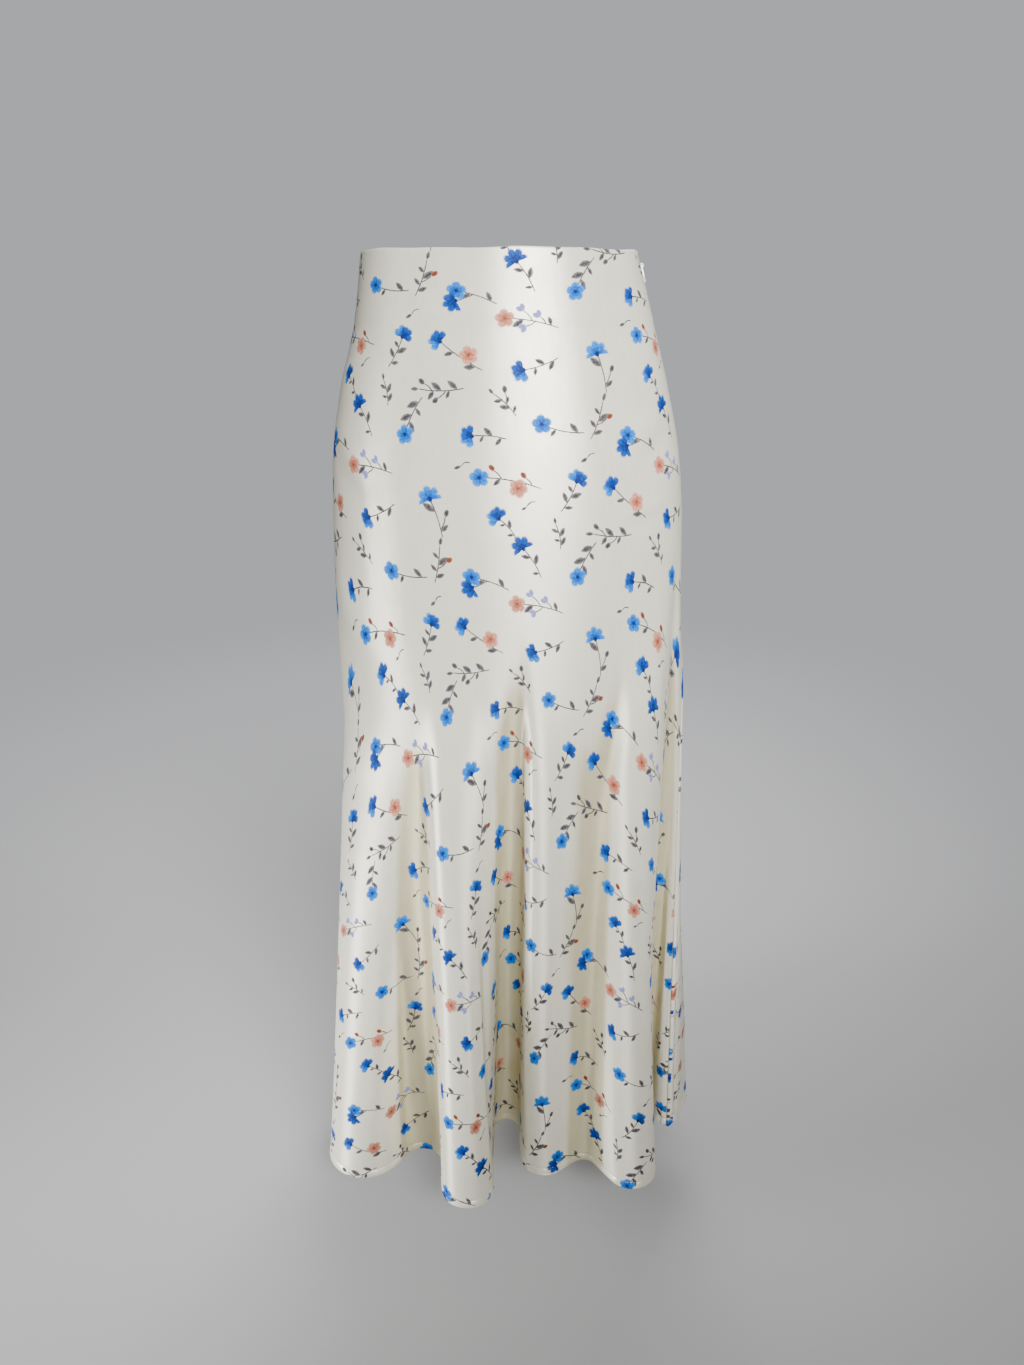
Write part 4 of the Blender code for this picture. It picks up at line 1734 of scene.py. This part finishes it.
FRONT_CREASES = (
    Crease((37, 0.228), (47, 0.221), (60, 0.219), 6, 0.9, Relief.PULL),
    Crease((44, 0.172), (54, 0.158), (66, 0.140), 11, 1.2, Relief.PULL),
    Crease((-27.5, 0.70), (-25.5, 0.81), (-24.0, 0.918), 6, 3.6),
    Crease((8.0, 0.42), (8.6, 0.66), (11.2, 0.918), 5, 2.0, Relief.RIDGE),
    Crease((-50.0, 0.60), (-50.5, 0.76), (-52.0, 0.91), 9, 1.6, Relief.RIDGE),
    Crease((-39.0, 0.62), (-38.0, 0.77), (-38.5, 0.91), 9, 2.8),
    Crease((-18.5, 0.58), (-18.5, 0.75), (-19.0, 0.91), 7, 1.4, Relief.RIDGE),
    Crease((-11.0, 0.58), (-10.5, 0.75), (-11.0, 0.91), 8, 3.2),
    Crease((18.0, 0.46), (18.8, 0.68), (18.0, 0.91), 11, 3.4),
    Crease((80, 0.790), (86, 0.798), (92, 0.806), 5, 1.2, Relief.PULL),
    Crease((-70, 0.16), (-60, 0.19), (-47, 0.20), 12, 0.8, Relief.PULL),
    Crease((-78, 0.30), (-66, 0.33), (-50, 0.37), 16, 1.0, Relief.PULL),
    Crease((-30, 0.44), (-27, 0.52), (-26, 0.62), 12, 1.4),
    Crease((24, 0.40), (27, 0.47), (28, 0.56), 13, 1.0),
    Crease((-52, 0.55), (-50, 0.64), (-51, 0.74), 14, 1.0),
    Crease((60, 0.34), (63, 0.42), (66, 0.52), 10, 1.1),
    Crease((-8, 0.36), (-4, 0.42), (-1, 0.50), 12, 1.0),
)

BACK_CREASES = (
    Crease((118, 0.215), (128, 0.225), (141, 0.240), 8, 0.9, Relief.PULL),
    Crease((236, 0.205), (226, 0.222), (213, 0.236), 9, 1.0, Relief.PULL),
    Crease((262, 0.150), (250, 0.165), (238, 0.168), 12, 0.8, Relief.PULL),
    Crease((150, 0.46), (151, 0.55), (152, 0.64), 13, 1.2),
    Crease((178, 0.42), (180, 0.52), (181, 0.63), 12, 1.2),
    Crease((212, 0.47), (213, 0.57), (214, 0.70), 13, 1.1),
    Crease((162, 0.74), (163, 0.82), (163, 0.90), 5, 1.3),
    Crease((244, 0.70), (245, 0.79), (245, 0.89), 5, 1.2),
    Crease((196, 0.76), (203, 0.765), (210, 0.774), 6, 1.1, Relief.PULL),
    Crease((133, 0.60), (135, 0.70), (134, 0.80), 12, 1.1),
)


# ---- facing, seams and hem
def thread_frames(path: Array, along: Array, pitch: float, turn: float = 0.0) -> list[Matrix]:
    """Where the stitches of a row of sewing go.

    Args:
        path: Points of the row.
        along: The direction round the body at each point, as x and y.
        pitch: Length from one stitch to the next.
        turn: Angle between a stitch and the direction round the body, in the plane of the cloth.

    Returns:
        One frame a stitch, its X along the thread and its Y out of the cloth.
    """
    walked = np.concatenate(([0.0], np.cumsum(np.linalg.norm(np.diff(path, axis=0), axis=1))))
    frames = []
    for stop in np.arange(pitch / 2, walked[-1], pitch):
        i = int(np.searchsorted(walked, stop))
        forward = Vector((along[i][0], along[i][1], 0.0))
        out = Vector((along[i][1], -along[i][0], 0.0))
        basis = Matrix((forward, out, forward.cross(out))).transposed()
        frames.append(Matrix.Translation(path[i]) @ basis.to_4x4() @ Matrix.Rotation(turn, 4, "Y"))
    return frames


@dataclass
class Facing:
    """The facing inside the waist, of the same cloth with its right side towards the body."""

    depth: float = FACING_DEPTH
    top: float = 1.4 * MM
    inset: float = 1.75 * MM
    zip_stop: float = 11.4 * MM
    rows: int = 24
    waver: float = 0.25 * MM
    waver_rate: float = 23.0
    waver_start: float = 0.03
    origin: Pair = (0.031, -0.202)

    def build(self, panel: Panel, name: str, node: str, cloth: SatinCloth) -> Piece:
        """Builds the facing of one panel.

        Args:
            panel: The panel it is sewn to.
            name: Its name.
            node: The CAD node that it stands for.
            cloth: The satin.

        Returns:
            The facing.
        """
        depths = np.linspace(self.top, self.depth, self.rows)
        front = panel.last == LEFT_SEAM
        right_seam = BENDS[0].angle + (0.0 if front else 360.0)
        far_edge = np.full((self.rows, 1), right_seam)
        places = panel.grid.places[len(panel.edge_slides) : -len(panel.edge_slides)]
        angles = np.broadcast_to(DRAPE.angle(places), (self.rows, len(places)))
        stop = DRAPE.beside_zip(np.array([-self.zip_stop if front else self.zip_stop]), depths)
        if front:
            angles = np.concatenate((far_edge, np.minimum(angles, stop)), 1)
            places = np.concatenate(([DRAPE.hem.middles[0]], places))
        else:
            angles = np.concatenate((np.maximum(angles, stop), far_edge), 1)
            places = np.concatenate((places, [DRAPE.hem.middles[0] + DRAPE.hem.length]))
        keep = np.diff(angles[-1]) > 1e-6
        keep = np.concatenate((keep, [True])) if front else np.concatenate(([True], keep))
        angles, places = angles[:, keep], places[keep]
        net = Net(angles, places, depths)
        growth = soft_step(net.rows, self.waver_start, self.depth)
        waver = self.waver * np.sin(np.radians(angles) * self.waver_rate) * growth
        points = DRAPE.points(net, self.inset + waver)
        grid = panel.lay_out(net, self.origin)
        piece = Workshop.cloth(name, points, grid.cloth, SATIN_THICKNESS, cloth.wrong, cloth.right)
        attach(piece, "skirt")
        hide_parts(node)
        return piece


@dataclass
class Hem:
    """The turned hem allowance inside the lower edge, and its row of stitches."""

    top: float = 9.0 * MM
    foot: float = 0.9 * MM
    inset: float = 1.60 * MM
    fold: float = 0.45 * MM  # radius of the fold at its upper edge
    end_gap: float = 0.3 * MM
    stitch_pitch: float = 3.0 * MM
    stitch_length: float = 2.3 * MM
    stitch_width: float = 0.32 * MM
    stitch_inset: float = 0.35 * MM
    stitch_margin: float = 2.0 * MM  # from the side seams
    route_points: int = 2400

    def build_band(self, panel: Panel, name: str, node: str, cloth: SatinCloth) -> Piece:
        """Builds the allowance of one panel, folded back on itself at its upper edge.

        Args:
            panel: The panel it is turned up from.
            name: Its name.
            node: The CAD node that it stands for.
            cloth: The satin.

        Returns:
            The allowance.
        """
        turns = np.radians(np.linspace(0, 180, 7))[1:]
        crown = self.top - self.fold
        heights = np.concatenate((np.linspace(self.foot, crown, 6), crown + self.fold * np.sin(turns)))
        insets = np.concatenate((np.full(6, self.inset), self.inset + self.fold * (1 - np.cos(turns))))
        places = panel.grid.places[1:-1]
        slide = np.zeros(len(places))
        slide[0], slide[-1] = self.end_gap, -self.end_gap
        grid = panel.lay_out(DRAPE.net(places, SKIRT_LENGTH - heights[::-1]))
        points = panel.follow(grid, insets[::-1][:, None], slide)
        piece = Workshop.cloth(name, points, grid.cloth, SATIN_THICKNESS, cloth.wrong, cloth.right)
        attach(piece, "skirt")
        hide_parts(node)
        return piece

    def model_stitch(self) -> Piece:
        """Models one stitch: a short thread, thin at both ends, along X.

        Returns:
            The stitch.
        """
        Workshop.begin()
        bpy.ops.mesh.primitive_uv_sphere_add(segments=6, ring_count=5, radius=0.5)
        bpy.ops.object.mode_set(mode="EDIT")
        bpy.ops.transform.rotate(value=math.pi / 2, orient_axis="Y", center_override=(0.0, 0.0, 0.0))
        bpy.ops.transform.resize(value=(self.stitch_length, self.stitch_width, self.stitch_width))
        bpy.ops.object.mode_set(mode="OBJECT")
        return bpy.context.active_object

    def build_stitches(self, panel: Panel, name: str, thread: Finish) -> Piece:
        """Sews the row of stitches round one panel's hem.

        Args:
            panel: The panel.
            name: Its name.
            thread: The thread's finish.

        Returns:
            The stitches.
        """
        start, end = panel.grid.places[0] + self.stitch_margin, panel.grid.places[-1] - self.stitch_margin
        places = np.linspace(start, end, self.route_points)
        grid = panel.lay_out(DRAPE.net(places, np.array([SKIRT_LENGTH - panel.stitch_line])))
        path = panel.follow(grid, self.stitch_inset)[0]
        frames = thread_frames(path, DRAPE.along(grid)[0], self.stitch_pitch)
        piece = Workshop.repeat(name, self.model_stitch(), frames, thread)
        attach(piece, "skirt")
        return piece


@dataclass
class SeamAllowance:
    """The allowances of a side seam pressed open on the wrong side, with overlocked edges."""

    reach: float = 9.5 * MM
    hem_clearance: float = 9.5 * MM
    inset: float = 0.75 * MM
    row_step: float = 5.0 * MM
    columns: tuple[float, ...] = (-1.0, -0.75, -0.5, -0.3, -0.12, 0.0, 0.12, 0.3, 0.5, 0.75, 1.0)
    ridge: float = 0.55 * MM
    ridge_width: float = 1.6 * MM
    curl: float = 0.35 * MM
    curl_rate: float = 61.0
    lock_pitch: float = 2.0 * MM
    lock_slant: float = 0.25

    def lie(self, distances: Array, depths: Array) -> Array:
        """How far inside the outer side each point lies: over the seam's ridge, with curling edges.

        Args:
            distances: How far each column is from the seam.
            depths: Depths below the waist, for each row.

        Returns:
            The inset at each row and column.
        """
        over_seam = self.ridge * np.exp(-((distances / self.ridge_width) ** 2))
        uneven = 1.2 + np.sin(depths[:, None] * self.curl_rate)
        return self.inset + over_seam + self.curl * (np.abs(distances) / self.reach) ** 3 * uneven

    def build(self, name: str, seam: float, top: float, finish: tuple[Finish, ...]) -> list[Piece]:
        """Builds the allowances of one seam.

        Args:
            name: Its name.
            seam: The seam's place along the hem.
            top: The depth where the allowances come out from the facing or the zip.
            finish: The cloth's outer and inner finish and the thread's finish.

        Returns:
            The allowances and their overlock threads.
        """
        depths = np.arange(top, SKIRT_LENGTH - self.hem_clearance, self.row_step)
        distances = self.reach * np.array(self.columns)
        net = DRAPE.net(seam + distances, depths)
        points = DRAPE.points(net, self.lie(distances, depths))
        flat = Workshop.strip_layout(distances, depths)
        strip = Workshop.cloth(name, points, flat, SATIN_THICKNESS, finish[0], finish[1])
        frames = []
        along = DRAPE.along(net)
        for edge in (0, len(distances) - 1):
            frames += thread_frames(points[:, edge], along[:, edge], self.lock_pitch, self.lock_slant)
        locks = Workshop.repeat(f"{name}_overlock", Hem().model_stitch(), frames, finish[2])
        for piece in (strip, locks):
            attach(piece, "skirt")
        return [strip, locks]


# ---- the zip
@dataclass
class SideZip:
    """The concealed zip in the left seam: two tapes, the coil, the slider and the drop pull."""

    opening: float = 2.2 * MM
    tape_width: float = 10.0 * MM
    tape_top: float = 2.0 * MM
    length: float = 0.180
    tape_inset: float = 1.60 * MM
    tape_thickness: float = 0.55 * MM
    tape_columns: int = 9
    tape_rows: int = 60
    coil_top: float = 19.5 * MM
    coil_inset: float = 3.9 * MM
    coil_pitch: float = 1.25 * MM
    coil_offset: float = 0.7 * MM  # of each row of turns from the seam
    turn_width: float = 2.5 * MM
    turn_depth: float = 1.5 * MM
    wire: float = 0.32 * MM

    def build_tape(self, name: str, node: str, way: int, finish: Finish) -> Piece:
        """Builds the tape on one side of the seam.

        Args:
            name: Its name.
            node: The CAD node that it stands for.
            way: 1 for the back of the seam and -1 for the front.
            finish: The tape's finish.

        Returns:
            The tape.
        """
        distances = self.opening / 2 + self.tape_width * np.linspace(0, 1, self.tape_columns)
        distances = distances if way > 0 else -distances[::-1]
        depths = np.linspace(self.tape_top, self.length, self.tape_rows)
        net = Net(DRAPE.beside_zip(distances, depths), np.full(len(distances), SEAM_PLACE), depths)
        points = DRAPE.points(net, self.tape_inset)
        flat = Workshop.strip_layout(distances, depths)
        piece = Workshop.cloth(name, points, flat, self.tape_thickness, finish, finish)
        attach(piece, "skirt")
        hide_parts(node)
        return piece

    def model_turn(self) -> Piece:
        """Models one turn of the coil: an oval ring of nylon, flattened where it meets the tape.

        Returns:
            The turn.
        """
        Workshop.begin()
        bpy.ops.mesh.primitive_torus_add(
            major_segments=14, minor_segments=6, major_radius=self.turn_width / 2, minor_radius=self.wire
        )
        bpy.ops.object.mode_set(mode="EDIT")
        bpy.ops.transform.resize(value=(1.0, self.turn_depth / self.turn_width, 1.0))
        bpy.ops.object.mode_set(mode="OBJECT")
        return bpy.context.active_object

    def build_coil(self, finish: Finish) -> Piece:
        """Builds the closed coil: two rows of turns that mesh down the seam.

        Args:
            finish: The coil's finish.

        Returns:
            The coil.
        """
        depths = np.arange(self.coil_top + self.coil_pitch, self.length - 1 * MM, self.coil_pitch / 2)
        net = Net(np.array([BENDS[LEFT_SEAM].angle]), np.array([SEAM_PLACE]), depths)
        path = DRAPE.points(net, self.coil_inset)[:, 0]
        frames = []
        side = Vector((0.0, 1.0, 0.0))
        for i, place in enumerate(path):
            way = 1 if i % 2 else -1
            ahead = path[min(i + 1, len(path) - 1)] - path[max(i - 1, 0)]
            up = -Vector(ahead).normalized()
            turn = Matrix((side, side.cross(up).normalized(), up)).transposed()
            middle = Vector(place) + side * way * self.coil_offset
            frames.append(Matrix.Translation(middle) @ turn.to_4x4())
        piece = Workshop.repeat("zip_coil", self.model_turn(), frames, finish)
        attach(piece, "skirt")
        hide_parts("zip_chain")
        return piece

    def dress_metal(self, finish: Finish) -> None:
        """Gives the slider and the pull their lacquer.

        Args:
            finish: The lacquer.
        """
        for name in ("zip_slider", "zip_pull"):
            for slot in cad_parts[name].material_slots:
                slot.material = finish


# ---- the studio
@dataclass(frozen=True)
class Softbox:
    """A rectangular studio light that faces a point on the skirt."""

    name: str
    place: Point
    width: float
    height: float
    watts: float
    aim: Point = (0.0, 0.0, -0.45)
    spread: float = 180.0

    def build(self) -> None:
        """Adds the light."""
        data = bpy.data.lights.new(self.name, "AREA")
        data.shape = "RECTANGLE"
        data.size = self.width
        data.size_y = self.height
        data.energy = self.watts
        data.spread = math.radians(self.spread)
        lamp = put_in_scene(self.name, data)
        lamp.location = self.place
        aim = Vector(self.aim) - Vector(self.place)
        lamp.rotation_euler = aim.to_track_quat("-Z", "Y").to_euler()


@dataclass
class Studio:
    """The camera, the plain pale floor that fades into a pale backdrop, and the soft light."""

    sensor: float = 36.0  # the camera's, in millimetres, like its lens
    lens: float = 27.033
    camera_place: Point = (0.0115, -0.99, -0.04)
    camera_pitch: float = 20.5
    floor_drop: float = 0.075
    floor_reach: float = 4.0
    fade: Pair = (0.6, 2.4)
    floor_colour: Colour = (0.46, 0.46, 0.47)
    mottle: float = 1.06  # how much paler the floor gets in places
    sky: Colour = (0.93, 0.96, 1.0)
    sky_strength: float = 0.11
    backdrop: Colour = (0.46, 0.47, 0.49)
    lights: tuple[Softbox, ...] = (
        Softbox("hip softbox", (0.55, -1.7, 0.7), 2.1, 0.9, 22.5, (0.03, -0.1, -0.06), 50.0),
        Softbox("flute softbox", (-1.35, -0.5, -0.60), 0.6, 0.65, 4.6, (-0.05, -0.1, -0.85), 60.0),
        Softbox("back softbox", (0.3, 2.2, 1.2), 1.4, 1.0, 26.0),
        Softbox("floor softbox", (0.0, 3.4, 2.2), 3.6, 1.6, 60.0, (0.0, 2.9, -1.0), 130.0),
    )

    def build_camera(self) -> None:
        """Adds the camera."""
        data = bpy.data.cameras.new("camera")
        data.sensor_width = self.sensor
        data.lens = self.lens
        camera = put_in_scene("camera", data)
        camera.location = self.camera_place
        camera.rotation_euler = (math.radians(90 - self.camera_pitch), 0.0, 0.0)
        bpy.context.scene.camera = camera

    def build_floor(self) -> None:
        """Adds the floor, with a soft mottle, that fades far off into the backdrop's colour."""
        material, g, shader = new_material("pale floor")
        place = g.add("TexCoord").outputs["Object"]
        mottle = g.noise(place, 1.4, 3.0).outputs["Fac"]
        x, y, _ = g.split(place)
        away = g.math("SQRT", g.math("MULTIPLY_ADD", x, x, g.math("MULTIPLY", y, y)))
        far = g.ramp(away, *self.fade)
        pale = tuple(part * self.mottle for part in self.floor_colour)
        g.fill(shader, {
            "Base Color": g.mix(far, g.mix(mottle, self.floor_colour, pale), (0.0, 0.0, 0.0)),
            "Specular IOR Level": g.math("MULTIPLY_ADD", far, -0.5, 0.5),
            "Emission Color": self.backdrop,
            "Emission Strength": g.math("MULTIPLY", far, g.add("LightPath").outputs["Is Camera Ray"]),
            "Roughness": g.ramp(mottle, 0.3, 0.7, (0.7, 0.8)),
        })
        Workshop.begin()
        ground = (0.0, 0.0, -SKIRT_LENGTH - self.floor_drop)
        bpy.ops.mesh.primitive_plane_add(size=2 * self.floor_reach, location=ground)
        floor = bpy.context.active_object
        floor.name = "floor"
        floor.data.materials.append(material)

    def build_light(self) -> None:
        """Adds the sky and the softboxes."""
        world = bpy.data.worlds.new("studio")
        world.use_nodes = True
        g = Graph(world.node_tree)
        background = world.node_tree.nodes["Background"]
        sky = tuple(part * self.sky_strength for part in self.sky)
        seen = g.add("LightPath").outputs["Is Camera Ray"]
        g.fill(background, {"Color": g.mix(seen, sky, self.backdrop)})
        bpy.context.scene.world = world
        for softbox in self.lights:
            softbox.build()


# ---- the skirt
class MermaidSkirt:
    """The whole skirt, built in sewing order."""

    def __init__(self) -> None:
        """Makes the finishes and lays out the panels."""
        self.satin = SatinCloth()
        self.tape = TapeCloth().material()
        nylon = Filament("nylon coil", (0.80, 0.76, 0.66), (0.66, 0.61, 0.50), 0.30, 700.0)
        thread = Filament("ivory thread", (0.82, 0.78, 0.68), (0.62, 0.57, 0.46), 0.55, 900.0)
        self.nylon, self.thread = nylon.material(), thread.material()
        self.metal = LacqueredMetal().material()
        self.front = Panel(
            "front_cloth", "front_panel", 0, LEFT_SEAM, 0.0, (-0.015, 0.013),
            FRONT_CREASES, FRONT_GRAIN,
        )
        self.back = Panel(
            "back_cloth", "back_panel", LEFT_SEAM, len(BENDS), 180.0, (0.052, -0.061),
            BACK_CREASES, BACK_GRAIN,
        )

    def build(self) -> None:
        """Builds every piece and logs each panel's quads and cloth area, with the names of the pieces sewn
        to it.
        """
        hem, facing, zipper = Hem(), Facing(), SideZip()
        tapes = {
            "front": zipper.build_tape("front_tape", "zip_tape_front", -1, self.tape),
            "back": zipper.build_tape("back_tape", "zip_tape_back", 1, self.tape),
        }
        coil = zipper.build_coil(self.nylon)
        zipper.dress_metal(self.metal)
        allowance, satin = SeamAllowance(), (self.satin.wrong, self.satin.right, self.thread)
        below_zip, below_facing = zipper.length + 2 * MM, facing.depth + 2 * MM
        seams = {
            "front": allowance.build("left_seam_allowance", SEAM_PLACE, below_zip, satin),
            "back": allowance.build("right_seam_allowance", DRAPE.hem.middles[0], below_facing, satin),
        }
        for side, panel in (("front", self.front), ("back", self.back)):
            sheet = panel.build(self.satin)
            facing_piece = facing.build(panel, f"{side}_facing_cloth", f"{side}_facing", self.satin)
            band = hem.build_band(panel, f"{side}_hem_band", f"{side}_hem", self.satin)
            stitches = hem.build_stitches(panel, f"{side}_hem_stitches", self.thread)
            area = surface_area(sheet) / 2
            log.info("%s: %d quads, %.3f m2 of cloth", sheet.name, len(sheet.data.polygons), area)
            log.info("%s, %s, %s", facing_piece.name, band.name, stitches.name)
        log.info("zip: %s, %s and %s", tapes["front"].name, tapes["back"].name, coil.name)


def surface_area(piece: Piece) -> float:
    """Measures a piece with its modifiers.

    Args:
        piece: The piece.

    Returns:
        Its area on both sides.
    """
    evaluated = piece.evaluated_get(bpy.context.evaluated_depsgraph_get())
    mesh = evaluated.to_mesh()
    area = sum(polygon.area for polygon in mesh.polygons)
    evaluated.to_mesh_clear()
    return area


def main() -> None:
    """Builds the skirt and the studio round it."""
    logging.basicConfig(level=logging.INFO, format="%(name)s: %(message)s")
    studio = Studio()
    studio.build_camera()
    MermaidSkirt().build()
    studio.build_floor()
    studio.build_light()


if __name__ == "__main__":
    main()
